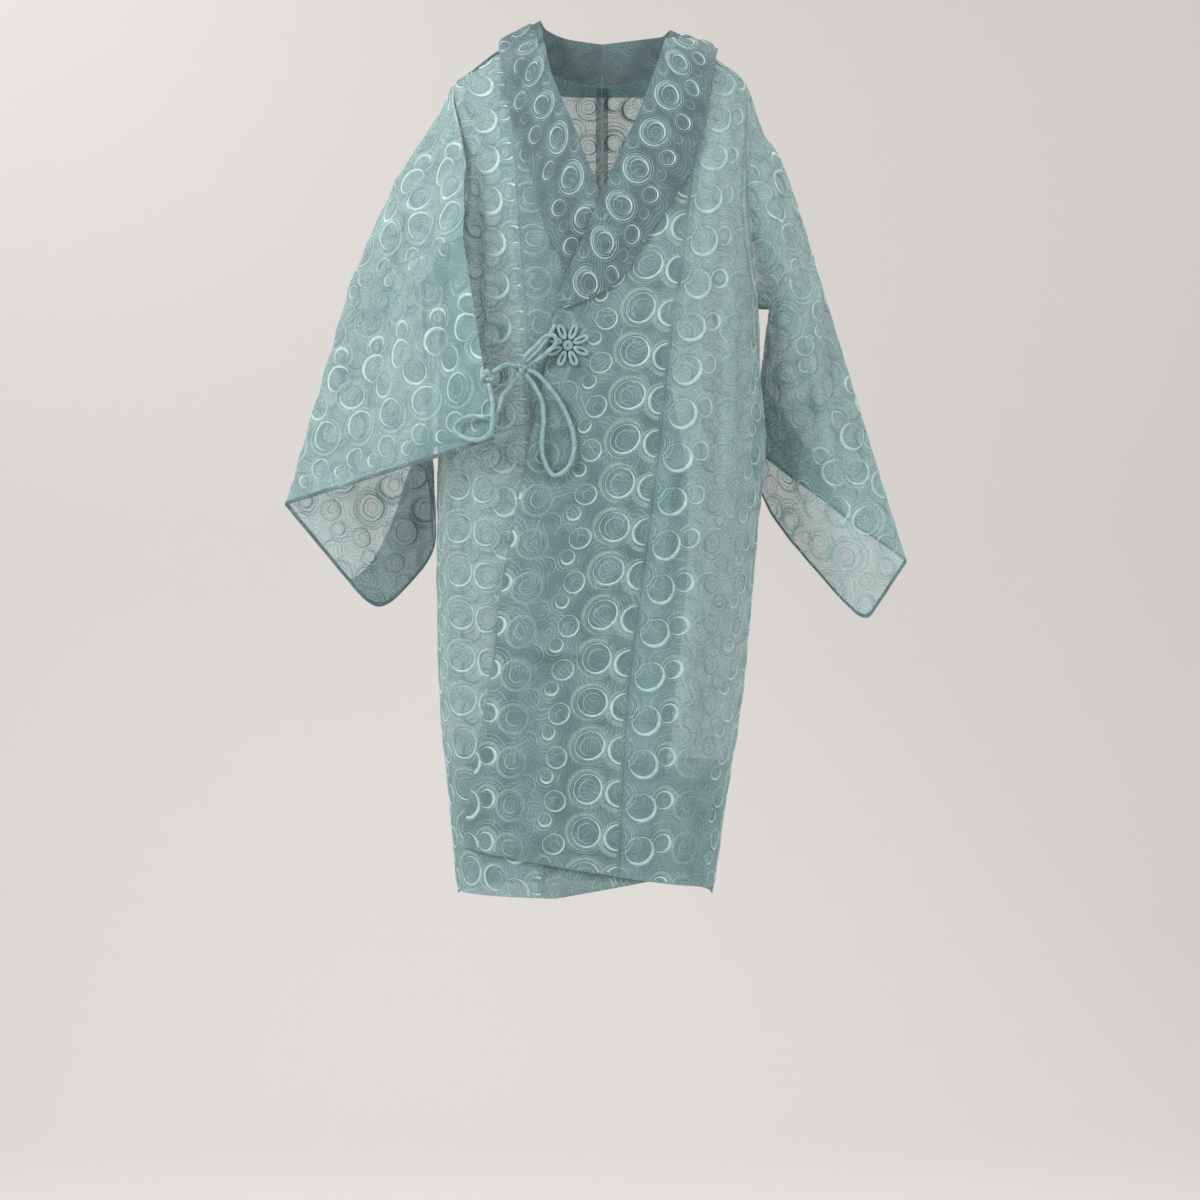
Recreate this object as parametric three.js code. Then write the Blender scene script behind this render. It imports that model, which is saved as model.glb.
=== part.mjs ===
// A sheer embroidered coat in kimono cut, as worn: hollow, tied at the wearer's right, sleeves hanging.
// Millimetres, +Z up, +X to the wearer's left, -Y to the front. The origin lies between the shoulders,
// at the height of the neck point, where the wearer's shoulders hold the coat.
// Names with _right and _left are the wearer's right (-X) and left (+X).

import * as THREE from "three";

// ---- Driving dimensions ----

const CLOTH = 1.5; // wall of a single panel
const DOUBLED = 2.2; // wall of a front band, which is folded double
const COLLAR_WALL = 2; // wall of the collar, folded double
const SEAM = 0.3; // gap between two pieces at a seam
const HEM_Z = -933; // back hem below the neck point
const UNDER_HEM = { z: -927, x: -50, slope: 0.18 }; // hem of the front that lies under, raised past x
const OVER_HEM = { z: -903, x: 18, slope: 0.163 }; // hem of the front that lies over, raised to its edge
const CENTRE_BACK_TOP_Z = -32; // neckline at the centre back
const UNDER_STEP = { depth: -5, fromX: -172, toX: -132 }; // the front that lies under steps back
const UNDER_COLLAR_LIFT = -2.5;
const OVER_COLLAR_LIFT = 2.6;
const CORD_RADIUS = 2.5;

// The hollow that a dressed figure fills: a rounded oblong at each height, as reaches from the axis.
const FULLNESS = 2.5; // 2 is an ellipse, more is squarer
const BODY = [
  { z: -4, right: 112, left: 112, front: 16, back: 16 },
  { z: -14, right: 126, left: 121, front: 34, back: 38 },
  { z: -27, right: 142, left: 140, front: 48, back: 58 },
  { z: -43, right: 162, left: 157, front: 60, back: 74 },
  { z: -76, right: 167, left: 164, front: 78, back: 93 },
  { z: -130, right: 168, left: 165, front: 96, back: 107 },
  { z: -200, right: 171, left: 167, front: 107, back: 112 },
  { z: -290, right: 176, left: 171, front: 113, back: 110 },
  { z: -368, right: 179, left: 174, front: 116, back: 110 },
  { z: -440, right: 180, left: 179, front: 117, back: 112 },
  { z: -530, right: 181, left: 171, front: 116, back: 113 },
  { z: -610, right: 181, left: 164, front: 114, back: 113 },
  { z: -722, right: 178, left: 153, front: 110, back: 111 },
  { z: -830, right: 168, left: 136, front: 104, back: 107 },
  { z: -933, right: 159, left: 122, front: 98, back: 102 },
];

// The opening in each side of the body hollow that leads to the sleeve.
const ARM = {
  right: { topZ: -45, underZ: -266, depth: 60 },
  left: { topZ: -48, underZ: -290, depth: 44 },
};

// Lines on the front, as x at each height.
const LINES = {
  underBandSide: [
    { z: -6, x: -109 },
    { z: -86, x: -99 },
    { z: -242, x: -87 },
    { z: -316, x: -81 },
    { z: -600, x: -70 },
    { z: -933, x: -62 },
  ],
  underEdge: [
    { z: -6, x: -106 },
    { z: -90, x: -80 },
    { z: -159, x: -56 },
    { z: -220, x: -26 },
    { z: -266, x: 8 },
    { z: -330, x: 52 },
    { z: -450, x: 86 },
    { z: -568, x: 92 },
    { z: -700, x: 80 },
    { z: -894, x: 56 },
  ],
  overEdge: [
    { z: -16, x: 116 },
    { z: -72, x: 92 },
    { z: -125, x: 74 },
    { z: -170, x: 54 },
    { z: -215, x: 28 },
    { z: -267, x: -8 },
    { z: -305, x: -46 },
    { z: -320, x: -53 },
    { z: -400, x: -65 },
    { z: -474, x: -81 },
    { z: -610, x: -107 },
    { z: -685, x: -115 },
    { z: -772, x: -129 },
    { z: -876, x: -147 },
  ],
  overBandSide: [
    { z: -16, x: 119 },
    { z: -156, x: 97 },
    { z: -257, x: 85 },
    { z: -327, x: 74 },
    { z: -485, x: 56 },
    { z: -610, x: 40 },
    { z: -716, x: 27 },
    { z: -903, x: 18 },
  ],
};

// The collar at each station, from the centre back to its front end: its neck edge and its outer edge.
// Where lies is 1 it lies on the front, and y follows the body; where it is 0 it stands at the neck.
// It rides off the shoulder's curve by the distance under off.
const COLLAR_RIGHT = [
  { neckX: -1, neckY: 78, neckZ: 20, outX: -1, outY: 79, outZ: -40, lies: 0, off: 0 },
  { neckX: -40, neckY: 64, neckZ: 23, outX: -58, outY: 74, outZ: -37, lies: 0, off: 0 },
  { neckX: -62, neckY: 36, neckZ: 26, outX: -96, outY: 45, outZ: -16, lies: 0, off: 0 },
  { neckX: -67, neckY: 4, neckZ: 26, outX: -113, outY: 2, outZ: 4, lies: 0, off: 6 },
  { neckX: -62, neckY: -42, neckZ: -8, outX: -105, outY: -48, outZ: -52, lies: 1, off: 6 },
  { neckX: -53, neckY: -64, neckZ: -48, outX: -98, outY: -66, outZ: -91, lies: 1, off: 2 },
  { neckX: -32, neckY: -90, neckZ: -102, outX: -76, outY: -92, outZ: -159, lies: 1, off: 0 },
  { neckX: -15, neckY: -100, neckZ: -147, outX: -67, outY: -99, outZ: -190, lies: 1, off: 0 },
  { neckX: -1, neckY: -105, neckZ: -183, outX: -59, outY: -104, outZ: -220, lies: 1, off: 0 },
  { neckX: 10, neckY: -108, neckZ: -216, outX: -48, outY: -107, outZ: -244, lies: 1, off: 0 },
  { neckX: 14, neckY: -110, neckZ: -243, outX: -38, outY: -110, outZ: -266, lies: 1, off: 0 },
  { neckX: 6, neckY: -111, neckZ: -270, outX: -18, outY: -111, outZ: -280, lies: 1, off: 0 },
];
const COLLAR_LEFT = [
  { neckX: 1, neckY: 78, neckZ: 20, outX: 1, outY: 79, outZ: -40, lies: 0, off: 0 },
  { neckX: 42, neckY: 64, neckZ: 22, outX: 62, outY: 78, outZ: -37, lies: 0, off: 0 },
  { neckX: 67, neckY: 38, neckZ: 19, outX: 104, outY: 51, outZ: -18, lies: 0, off: 0 },
  { neckX: 74, neckY: 6, neckZ: 16, outX: 123, outY: 2, outZ: -6, lies: 0, off: 8 },
  { neckX: 61, neckY: -47, neckZ: -33, outX: 112, outY: -52, outZ: -72, lies: 1, off: 8 },
  { neckX: 40, neckY: -88, neckZ: -91, outX: 103, outY: -78, outZ: -123, lies: 1, off: 3 },
  { neckX: 19, neckY: -100, neckZ: -138, outX: 86, outY: -92, outZ: -170, lies: 1, off: 0 },
  { neckX: -1, neckY: -107, neckZ: -183, outX: 57, outY: -103, outZ: -215, lies: 1, off: 0 },
  { neckX: -18, neckY: -110, neckZ: -224, outX: 25, outY: -110, outZ: -267, lies: 1, off: 0 },
  { neckX: -35, neckY: -112, neckZ: -264, outX: 1, outY: -112, outZ: -288, lies: 1, off: 0 },
  { neckX: -49, neckY: -113, neckZ: -300, outX: -38, outY: -113, outZ: -306, lies: 1, off: 0 },
];

// Each sleeve is a tube through two rings of five corners: the crest along the top of the arm, the front
// fold, the inner side, the underside and the rear fold. The corners under sharp are creased, the others
// are round. The share of a ring's columns is in SPANS.
const CORNERS = ["crest", "front", "inner", "under", "rear"];
const SPANS = { crest: 8, front: 4, inner: 4, under: 4, rear: 6 }; // columns from each corner to the next
const RINGS = {
  right: {
    armhole: {
      crest: [-275, -5, -262],
      front: [-145, -126, -232],
      inner: [-176, -72, -246],
      under: [-194, -8, -266],
      rear: [-236, 76, -228],
    },
    cuff: {
      crest: [-348, -5, -507],
      front: [-111, -144, -445],
      inner: [-194, -62, -446],
      under: [-180, 42, -554],
      rear: [-248, 22, -631],
    },
    sharp: ["crest", "front"],
    capeBow: 9,
  },
  left: {
    armhole: {
      crest: [233, -8, -240],
      front: [202, -52, -262],
      inner: [188, -19, -286],
      under: [184, 28, -292],
      rear: [206, 86, -236],
    },
    cuff: {
      crest: [335, -5, -569],
      front: [287, -10, -640],
      inner: [186, 52, -516],
      under: [164, 104, -430],
      rear: [250, 62, -500],
    },
    sharp: ["crest"],
    capeBow: 6,
  },
};
// Where each corner of the arm opening's edge lies, as a share of the way down its front or rear side.
const OPENING_CORNERS = { crest: 0, front: 0.22, inner: 0.6, under: 1, rear: 0.5 };
const OPENING_ROUNDNESS = 0.7; // below 1 is fuller towards the ends of an arm opening
const DRAWN_IN = 0.4 * CLOTH; // how far the end rows of a tube draw in at a seam

// The tie: two leads, three loops and two knots, all of one round cord. A route runs between two of the
// named ends, through its own points, and stops a seam short of a knot.
const CORD_STEP = 9;
const CORD_SIDES = 8;
const KNOT_FACES = [12, 8];
const KNOTS = {
  tie_knot: { centre: [-84, -118, -368], radius: 7 },
  side_knot: { centre: [-119, -147.3, -380], radius: 8 },
};
const CORD_ROUTES = {
  tie_lead_left: {
    from: null,
    to: "tie_knot",
    through: [
      [-49, -115.6, -322],
      [-56, -117, -335],
      [-65, -118, -348],
    ],
  },
  tie_loop_top: {
    from: "tie_knot",
    to: "tie_knot",
    through: [
      [-80, -128, -357],
      [-68, -127, -345],
      [-59, -127, -336],
      [-50, -125, -335],
      [-48, -124, -342],
      [-56, -124, -351],
      [-66, -123, -359],
    ],
  },
  tie_loop_long: {
    from: "tie_knot",
    to: "tie_knot",
    through: [
      [-70, -120, -373],
      [-56, -121, -387],
      [-41, -122, -409],
      [-32, -122, -430],
      [-29, -122, -450],
      [-33, -122, -468],
      [-42, -122, -478],
      [-51, -122, -480],
      [-60, -122, -466],
      [-63, -122, -448],
      [-61, -122, -424],
      [-63, -121, -402],
      [-72, -120, -385],
    ],
  },
  tie_lead_right: {
    from: "tie_knot",
    to: "side_knot",
    through: [
      [-98, -126, -365],
      [-106, -136, -369],
    ],
  },
  tie_loop_hanging: {
    from: "tie_knot",
    to: "side_knot",
    through: [
      [-91, -123, -381],
      [-98, -133, -391],
      [-104, -146, -402],
      [-107, -151, -414],
      [-118, -148, -421],
      [-135, -140, -420],
      [-150, -131, -426],
      [-153, -130, -434],
      [-143, -136, -442],
      [-127, -146, -445],
      [-115, -153, -438],
      [-113, -155, -422],
      [-113, -154, -408],
      [-115, -152, -396],
    ],
  },
};
const FLOWER = { x: -36, z: -344, petals: 8, reach: 24, petalWidth: 10, cord: 1.9, button: 5.5, clear: 0.5 };
const PETAL = { points: 7, rootWidth: 0.55, step: 4.2, sides: 6 }; // rootWidth is a share of the full width
const BUTTON_FLATNESS = 0.6;

// ---- Colours ----

const material = (color, roughness) => new THREE.MeshStandardMaterial({ color, roughness, metalness: 0 });
const ORGANZA = material(0x93b4b2, 0.55);
const ORGANZA_DOUBLED = material(0x7f9a9a, 0.55);
const CORD = material(0xaacfcd, 0.4);

// ---- Small helpers ----

const coat = new THREE.Group();

function addPiece(name, geometry, pieceMaterial) {
  const mesh = new THREE.Mesh(geometry, pieceMaterial);
  mesh.name = name;
  coat.add(mesh);
}

const mix = (a, b, share) => a + (b - a) * share;

const clamp = (share) => Math.min(Math.max(share, 0), 1);

const ease = (share) => share * share * (3 - 2 * share);

// A smooth curve through one column of a table whose rows run downwards in z.
function along(rows, column, z) {
  const last = rows.length - 1;
  if (z >= rows[0].z) return rows[0][column];
  if (z <= rows[last].z) return rows[last][column];
  let k = 0;
  while (rows[k + 1].z > z) k += 1;
  const slope = (i) => {
    const above = rows[Math.max(i - 1, 0)];
    const below = rows[Math.min(i + 1, last)];
    return (below[column] - above[column]) / (below.z - above.z);
  };
  const step = rows[k + 1].z - rows[k].z;
  const w = (z - rows[k].z) / step;
  const bend = w * (1 - w) * step;
  const drift = (1 - w) * slope(k) - w * slope(k + 1);
  const chord = (rows[k + 1][column] - rows[k][column]) / step;
  return mix(rows[k][column], rows[k + 1][column], w) + bend * (drift - chord * (1 - 2 * w));
}

// ---- The body hollow ----

// A point on the body hollow. The turn runs anticlockwise from +X, seen from above.
function onBody(turn, z) {
  const c = Math.cos(turn);
  const s = Math.sin(turn);
  const reachX = along(BODY, c < 0 ? "right" : "left", z);
  const reachY = along(BODY, s < 0 ? "front" : "back", z);
  const power = 2 / FULLNESS;
  return new THREE.Vector3(
    Math.sign(c) * reachX * Math.abs(c) ** power,
    Math.sign(s) * reachY * Math.abs(s) ** power,
    z,
  );
}

// The same point moved out by lift, square to the surface.
function bodyPoint(turn, z, lift) {
  const across = onBody(turn + 0.02, z).sub(onBody(turn - 0.02, z));
  const up = onBody(turn, z + 2).sub(onBody(turn, z - 2));
  return onBody(turn, z).addScaledVector(across.cross(up).normalize(), lift);
}

// The turn at which the front reaches x at height z.
function turnAtX(x, z) {
  const reach = along(BODY, x < 0 ? "right" : "left", z);
  const share = Math.min(Math.abs(x) / reach, 1);
  return -Math.acos(Math.sign(x) * share ** (FULLNESS / 2));
}

// Half the depth of an arm opening at height z, which is 0 above and below it.
function openingDepth(side, z) {
  const { topZ, underZ, depth } = ARM[side];
  const down = (topZ - z) / (topZ - underZ);
  if (down <= 0 || down >= 1) return 0;
  return depth * Math.sin(Math.PI * down) ** OPENING_ROUNDNESS;
}

// The turn of a side seam, or of the arm opening's edge, on the front (facing -1) or the back (1).
function sideTurn(side, facing, z) {
  const reach = along(BODY, facing < 0 ? "front" : "back", z);
  const aside = Math.asin(Math.min(openingDepth(side, z) / reach, 1) ** (FULLNESS / 2));
  return side === "left" ? facing * aside : facing * (Math.PI - aside);
}

// Moves a turn by a distance along the surface.
function shifted(turn, z, distance) {
  const perTurn = onBody(turn + 0.02, z).distanceTo(onBody(turn - 0.02, z)) / 0.04;
  return turn + distance / perTurn;
}

// ---- Walls ----

// A wall of even thickness inside a grid of outer points. Rows run down, columns anticlockwise.
function wallGeometry(grid, thickness, closed = false) {
  const rows = grid.length;
  const columns = grid[0].length;
  const at = (i, j) => grid[i][closed ? (j + columns) % columns : Math.min(Math.max(j, 0), columns - 1)];
  const points = [];
  for (const layer of [0, 1]) {
    for (let i = 0; i < rows; i += 1) {
      for (let j = 0; j < columns; j += 1) {
        const across = at(i, j + 1).clone().sub(at(i, j - 1));
        const down = at(Math.min(i + 1, rows - 1), j).clone().sub(at(Math.max(i - 1, 0), j));
        const outward = down.cross(across).normalize();
        points.push(grid[i][j].clone().addScaledVector(outward, -layer * thickness));
      }
    }
  }
  const index = [];
  const id = (layer, i, j) => layer * rows * columns + i * columns + (j % columns);
  const quad = (a, b, c, d) => index.push(a, b, c, a, c, d);
  const lastColumn = closed ? columns : columns - 1;
  for (let i = 0; i < rows - 1; i += 1) {
    for (let j = 0; j < lastColumn; j += 1) {
      quad(id(0, i, j), id(0, i + 1, j), id(0, i + 1, j + 1), id(0, i, j + 1));
      quad(id(1, i, j), id(1, i, j + 1), id(1, i + 1, j + 1), id(1, i + 1, j));
    }
  }
  for (let j = 0; j < lastColumn; j += 1) {
    quad(id(0, 0, j), id(0, 0, j + 1), id(1, 0, j + 1), id(1, 0, j));
    quad(id(0, rows - 1, j + 1), id(0, rows - 1, j), id(1, rows - 1, j), id(1, rows - 1, j + 1));
  }
  if (!closed) {
    for (let i = 0; i < rows - 1; i += 1) {
      const k = columns - 1;
      quad(id(0, i + 1, 0), id(0, i, 0), id(1, i, 0), id(1, i + 1, 0));
      quad(id(0, i, k), id(0, i + 1, k), id(1, i + 1, k), id(1, i, k));
    }
  }
  const geometry = new THREE.BufferGeometry().setFromPoints(points);
  geometry.setIndex(index);
  return geometry;
}

// The heights of a panel's rows: close together over the shoulder and beside the arm opening.
function levels(topZ, side, hemZ) {
  const { topZ: armTop, underZ } = ARM[side];
  const heights = [];
  const run = (from, to, steps) => {
    for (let k = 0; k < steps; k += 1) heights.push(mix(from, to, k / steps));
  };
  run(topZ, armTop, 3);
  run(armTop, underZ, 10);
  run(underZ, hemZ, 11);
  heights.push(hemZ);
  return heights;
}

// ---- Panels ----

function backPanel(side) {
  const columns = 8;
  const sign = side === "left" ? 1 : -1;
  const neckZ = side === "left" ? -14 : -6;
  const grid = levels(neckZ, side, HEM_Z).map((z) => {
    const centre = shifted(Math.PI / 2, z, -sign * (SEAM / 2));
    const edge = shifted(sideTurn(side, 1, z), z, sign * (SEAM / 2));
    const row = [];
    for (let j = 0; j <= columns; j += 1) {
      const turn = mix(edge, centre, j / columns);
      const drop = (CENTRE_BACK_TOP_Z - neckZ) * (j / columns) ** 2 * (1 - (z - neckZ) / (HEM_Z - neckZ));
      row.push(bodyPoint(turn, z + drop, 0));
    }
    return side === "left" ? row : row.reverse();
  });
  return wallGeometry(grid, CLOTH);
}

// A front piece between two lines, each given as a turn at height z.
function frontPiece(side, topZ, hemAt, turnFrom, turnTo, columns, liftAt, thickness) {
  const nominalHem = hemAt(OVER_HEM.x);
  const grid = levels(topZ, side, nominalHem).map((z) => {
    const row = [];
    const from = shifted(turnFrom(z), z, SEAM / 2);
    const to = shifted(turnTo(z), z, -SEAM / 2);
    for (let j = 0; j <= columns; j += 1) {
      const turn = mix(from, to, j / columns);
      const { x } = onBody(turn, z);
      const low = Math.max((z - ARM[side].underZ) / (nominalHem - ARM[side].underZ), 0);
      row.push(bodyPoint(turn, z + (hemAt(x) - nominalHem) * low, liftAt(x)));
    }
    return row;
  });
  return wallGeometry(grid, thickness);
}

const overHemAt = (x) => OVER_HEM.z - OVER_HEM.slope * (x - OVER_HEM.x);
const underHemAt = (x) => UNDER_HEM.z + UNDER_HEM.slope * Math.max(x - UNDER_HEM.x, 0);
const lineTurn = (name) => (z) => turnAtX(along(LINES[name], "x", z), z);
// The front that lies under leaves the side seam level and steps back before it goes under the other.
const stepWidth = UNDER_STEP.toX - UNDER_STEP.fromX;
const underLift = (x) => UNDER_STEP.depth * ease(clamp((x - UNDER_STEP.fromX) / stepWidth));
const noLift = () => 0;
const sideSeam = (side) => (z) => sideTurn(side, -1, z);

addPiece("back_right", backPanel("right"), ORGANZA);
addPiece("back_left", backPanel("left"), ORGANZA);
addPiece(
  "front_right",
  frontPiece("right", -6, underHemAt, sideSeam("right"), lineTurn("underBandSide"), 6, underLift, CLOTH),
  ORGANZA,
);
addPiece(
  "band_right",
  frontPiece("right", -10, underHemAt, lineTurn("underBandSide"), lineTurn("underEdge"), 6, underLift, DOUBLED),
  ORGANZA_DOUBLED,
);
addPiece(
  "band_left",
  frontPiece("left", -18, overHemAt, lineTurn("overEdge"), lineTurn("overBandSide"), 7, noLift, DOUBLED),
  ORGANZA_DOUBLED,
);
addPiece(
  "front_left",
  frontPiece("left", -16, overHemAt, lineTurn("overBandSide"), sideSeam("left"), 7, noLift, CLOTH),
  ORGANZA,
);

// ---- Collar ----

// A smooth value of one column at a station between two rows.
function atStation(rows, column, station) {
  const table = rows.map((row, k) => ({ z: -k, value: row[column] }));
  return along(table, "value", -station);
}

function collarPiece(rows, side, lift) {
  const stations = 26;
  const columns = 5;
  const grid = [];
  for (let i = 0; i <= stations; i += 1) {
    const station = ((rows.length - 1) * i) / stations;
    const value = (column) => atStation(rows, column, station);
    const row = [];
    for (let j = 0; j <= columns; j += 1) {
      const share = j / columns;
      const x = mix(value("neckX"), value("outX"), share);
      const z = mix(value("neckZ"), value("outZ"), share);
      const standing = mix(value("neckY"), value("outY"), share);
      const point = new THREE.Vector3(x, standing, z);
      const clear = bodyPoint(turnAtX(x, z), z, lift + Math.max(value("off"), 0));
      point.lerp(clear, clamp(value("lies")));
      const overBody = point.y < 0 && Math.abs(x) < along(BODY, x < 0 ? "right" : "left", z);
      if (overBody && point.y > clear.y) point.copy(clear);
      row.push(point);
    }
    grid.push(row);
  }
  return wallGeometry(side === "left" ? grid : grid.map((row) => row.reverse()), COLLAR_WALL);
}

addPiece("collar_right", collarPiece(COLLAR_RIGHT, "right", UNDER_COLLAR_LIFT), ORGANZA_DOUBLED);
addPiece("collar_left", collarPiece(COLLAR_LEFT, "left", OVER_COLLAR_LIFT), ORGANZA_DOUBLED);

// ---- Sleeves ----

// The columns of a ring, each as the corner before it, the corner after it and the share between them.
function ringColumns() {
  const columns = [];
  CORNERS.forEach((from, k) => {
    const to = CORNERS[(k + 1) % CORNERS.length];
    for (let step = 0; step < SPANS[from]; step += 1) columns.push({ from, to, share: step / SPANS[from] });
  });
  return columns;
}

// Rounds the corners of a closed ring, but not the sharp ones.
function rounded(ring, columns, sharp) {
  return ring.map((point, k) => {
    if (columns[k].share === 0 && sharp.includes(columns[k].from)) return point;
    const before = ring[(k + ring.length - 1) % ring.length];
    const after = ring[(k + 1) % ring.length];
    return point.clone().multiplyScalar(2).add(before).add(after).divideScalar(4);
  });
}

function ringOf(corners, sharp) {
  const columns = ringColumns();
  const points = columns.map(({ from, to, share }) =>
    new THREE.Vector3(...corners[from]).lerp(new THREE.Vector3(...corners[to]), share),
  );
  return rounded(points, columns, sharp);
}

// The ring along the edge of an arm opening, just off the body.
function openingRing(side) {
  const { topZ, underZ } = ARM[side];
  return ringColumns().map(({ from, to, share }) => {
    const facing = from === "under" || from === "rear" ? 1 : -1;
    const down = mix(OPENING_CORNERS[from], OPENING_CORNERS[to], share);
    const z = mix(topZ, underZ, Math.min(Math.max(down, 0.002), 0.998));
    const sign = side === "left" ? 1 : -1;
    const lift = SEAM + CLOTH * (1 - Math.sin(Math.PI * down));
    return bodyPoint(shifted(sideTurn(side, facing, z), z, -facing * sign * SEAM), z, lift);
  });
}

// A tube between two rings, bowed out by bow halfway, from start to end of the way.
function tubeGrid(first, last, steps, bow) {
  const centre = new THREE.Vector3();
  for (const ring of [first, last]) for (const p of ring) centre.addScaledVector(p, 0.5 / first.length);
  const grid = [];
  for (let i = 0; i <= steps; i += 1) {
    const share = i / steps;
    grid.push(
      first.map((point, j) => {
        const at = point.clone().lerp(last[j], share);
        const out = at.clone().sub(centre).setZ(0).normalize();
        return at.addScaledVector(out, bow * Math.sin(Math.PI * share));
      }),
    );
  }
  return grid;
}

// Draws the first and last rows of a tube in, so that two tubes that meet at an angle stay clear.
function parted(grid) {
  const step = (point, next) => next.clone().sub(point).setLength(DRAWN_IN);
  const towards = (row, next) => row.map((point, j) => point.clone().add(step(point, next[j])));
  const last = grid.length - 1;
  return grid.map((row, i) => {
    if (i === 0) return towards(row, grid[1]);
    return i === last ? towards(row, grid[last - 1]) : row;
  });
}

for (const side of ["right", "left"]) {
  const { armhole, cuff, sharp, capeBow } = RINGS[side];
  const turned = (grid) => (side === "left" ? grid.map((row) => row.slice().reverse()) : grid);
  const armholeRing = ringOf(armhole, sharp);
  const cape = parted(tubeGrid(openingRing(side), armholeRing, 4, capeBow));
  const sleeve = parted(tubeGrid(armholeRing, ringOf(cuff, sharp), 7, 0));
  addPiece(`shoulder_${side}`, wallGeometry(turned(cape), CLOTH, true), ORGANZA);
  addPiece(`sleeve_${side}`, wallGeometry(turned(sleeve), CLOTH, true), ORGANZA);
}

// ---- Tie ----

function roundSection(radius, sides) {
  const section = new THREE.Shape();
  section.absarc(0, 0, radius, 0, 2 * Math.PI);
  return new THREE.Shape(section.getPoints(sides).slice(0, sides));
}

function cordGeometry(points, radius, step, sides, closed = false) {
  const route = new THREE.CatmullRomCurve3(points, closed);
  const steps = Math.max(Math.round(route.getLength() / step), 3);
  return new THREE.ExtrudeGeometry(roundSection(radius, sides), { extrudePath: route, steps });
}

// The points of a route, with an end on the surface of each knot that it names.
function routePoints({ from, to, through }) {
  const points = through.map((p) => new THREE.Vector3(...p));
  const onKnot = (knotName, neighbour) => {
    const { centre, radius } = KNOTS[knotName];
    const middle = new THREE.Vector3(...centre);
    return middle.clone().add(neighbour.clone().sub(middle).setLength(radius + SEAM));
  };
  if (from) points.unshift(onKnot(from, points[0]));
  if (to) points.push(onKnot(to, points[points.length - 1]));
  return points;
}

for (const [name, route] of Object.entries(CORD_ROUTES)) {
  addPiece(name, cordGeometry(routePoints(route), CORD_RADIUS, CORD_STEP, CORD_SIDES), CORD);
}

for (const [name, { centre, radius }] of Object.entries(KNOTS)) {
  addPiece(name, new THREE.SphereGeometry(radius, ...KNOT_FACES).translate(...centre), CORD);
}

// The flower knot: loops of fine cord round a covered button, all lying on the front.
const onFront = (x, z, lift) => bodyPoint(turnAtX(x, z), z, lift);
for (let k = 0; k < FLOWER.petals; k += 1) {
  const angle = ((k + 0.5) * 2 * Math.PI) / FLOWER.petals;
  const rootAt = FLOWER.button + FLOWER.cord + SEAM;
  const tipAt = FLOWER.reach - FLOWER.cord;
  const outline = [];
  for (let step = 0; step < PETAL.points; step += 1) {
    const turn = (step * 2 * Math.PI) / PETAL.points;
    const out = mix(rootAt, tipAt, (1 - Math.cos(turn)) / 2);
    const half = (FLOWER.petalWidth / 2 - FLOWER.cord) * mix(PETAL.rootWidth, 1, out / FLOWER.reach);
    const aside = Math.sin(turn) * half;
    const x = FLOWER.x + out * Math.cos(angle) - aside * Math.sin(angle);
    const z = FLOWER.z + out * Math.sin(angle) + aside * Math.cos(angle);
    outline.push(onFront(x, z, FLOWER.cord + FLOWER.clear));
  }
  addPiece(`flower_petal_${k + 1}`, cordGeometry(outline, FLOWER.cord, PETAL.step, PETAL.sides, true), CORD);
}
const buttonLift = BUTTON_FLATNESS * FLOWER.button + FLOWER.clear;
const buttonAt = onFront(FLOWER.x, FLOWER.z, buttonLift).toArray();
addPiece(
  "flower_button",
  new THREE.SphereGeometry(FLOWER.button, ...KNOT_FACES).scale(1, BUTTON_FLATNESS, 1).translate(...buttonAt),
  CORD,
);

export default coat;
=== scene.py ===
"""Looks for a sheer embroidered coat in kimono cut: cloth, embroidery, sewing, cords, camera and light.

Sizes and places are in millimetres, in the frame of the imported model: +X to the wearer's left, -Y to the
front, +Z up. Meshes are written in metres. Names with _right and _left are the wearer's right and left.
"""

import math

import bpy
import numpy as np
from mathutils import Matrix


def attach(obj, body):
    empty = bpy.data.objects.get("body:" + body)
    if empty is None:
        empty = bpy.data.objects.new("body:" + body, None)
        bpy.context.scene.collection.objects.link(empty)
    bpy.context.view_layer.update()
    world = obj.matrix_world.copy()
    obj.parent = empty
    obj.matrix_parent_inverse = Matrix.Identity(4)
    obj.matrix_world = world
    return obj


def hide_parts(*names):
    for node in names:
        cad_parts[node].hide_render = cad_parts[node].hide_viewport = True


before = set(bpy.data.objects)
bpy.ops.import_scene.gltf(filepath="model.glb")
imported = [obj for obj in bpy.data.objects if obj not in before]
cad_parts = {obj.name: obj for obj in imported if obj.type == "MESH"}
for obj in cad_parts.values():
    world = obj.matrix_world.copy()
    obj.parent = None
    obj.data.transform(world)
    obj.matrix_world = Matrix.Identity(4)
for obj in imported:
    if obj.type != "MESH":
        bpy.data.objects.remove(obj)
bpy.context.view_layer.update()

MM = 0.001
CM_PER_MM = 0.1
SIDES = ("right", "left")


def add_object(name, data):
    """A mesh, a light or the camera, as an object in the scene."""
    made = bpy.data.objects.new(name, data)
    bpy.context.scene.collection.objects.link(made)
    return made


# ---- Camera ----

CAMERA = {"x": -2.2, "z": -610.5, "distance": 2400, "view_width": 1320, "sensor": 36}


def add_camera():
    data = bpy.data.cameras.new("camera")
    data.sensor_width = CAMERA["sensor"]
    data.lens = CAMERA["sensor"] * CAMERA["distance"] / CAMERA["view_width"]
    camera = add_object("camera", data)
    camera.location = (CAMERA["x"] * MM, -CAMERA["distance"] * MM, CAMERA["z"] * MM)
    camera.rotation_euler = (math.pi / 2, 0, 0)
    bpy.context.scene.camera = camera


add_camera()

# ---- Materials ----

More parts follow.
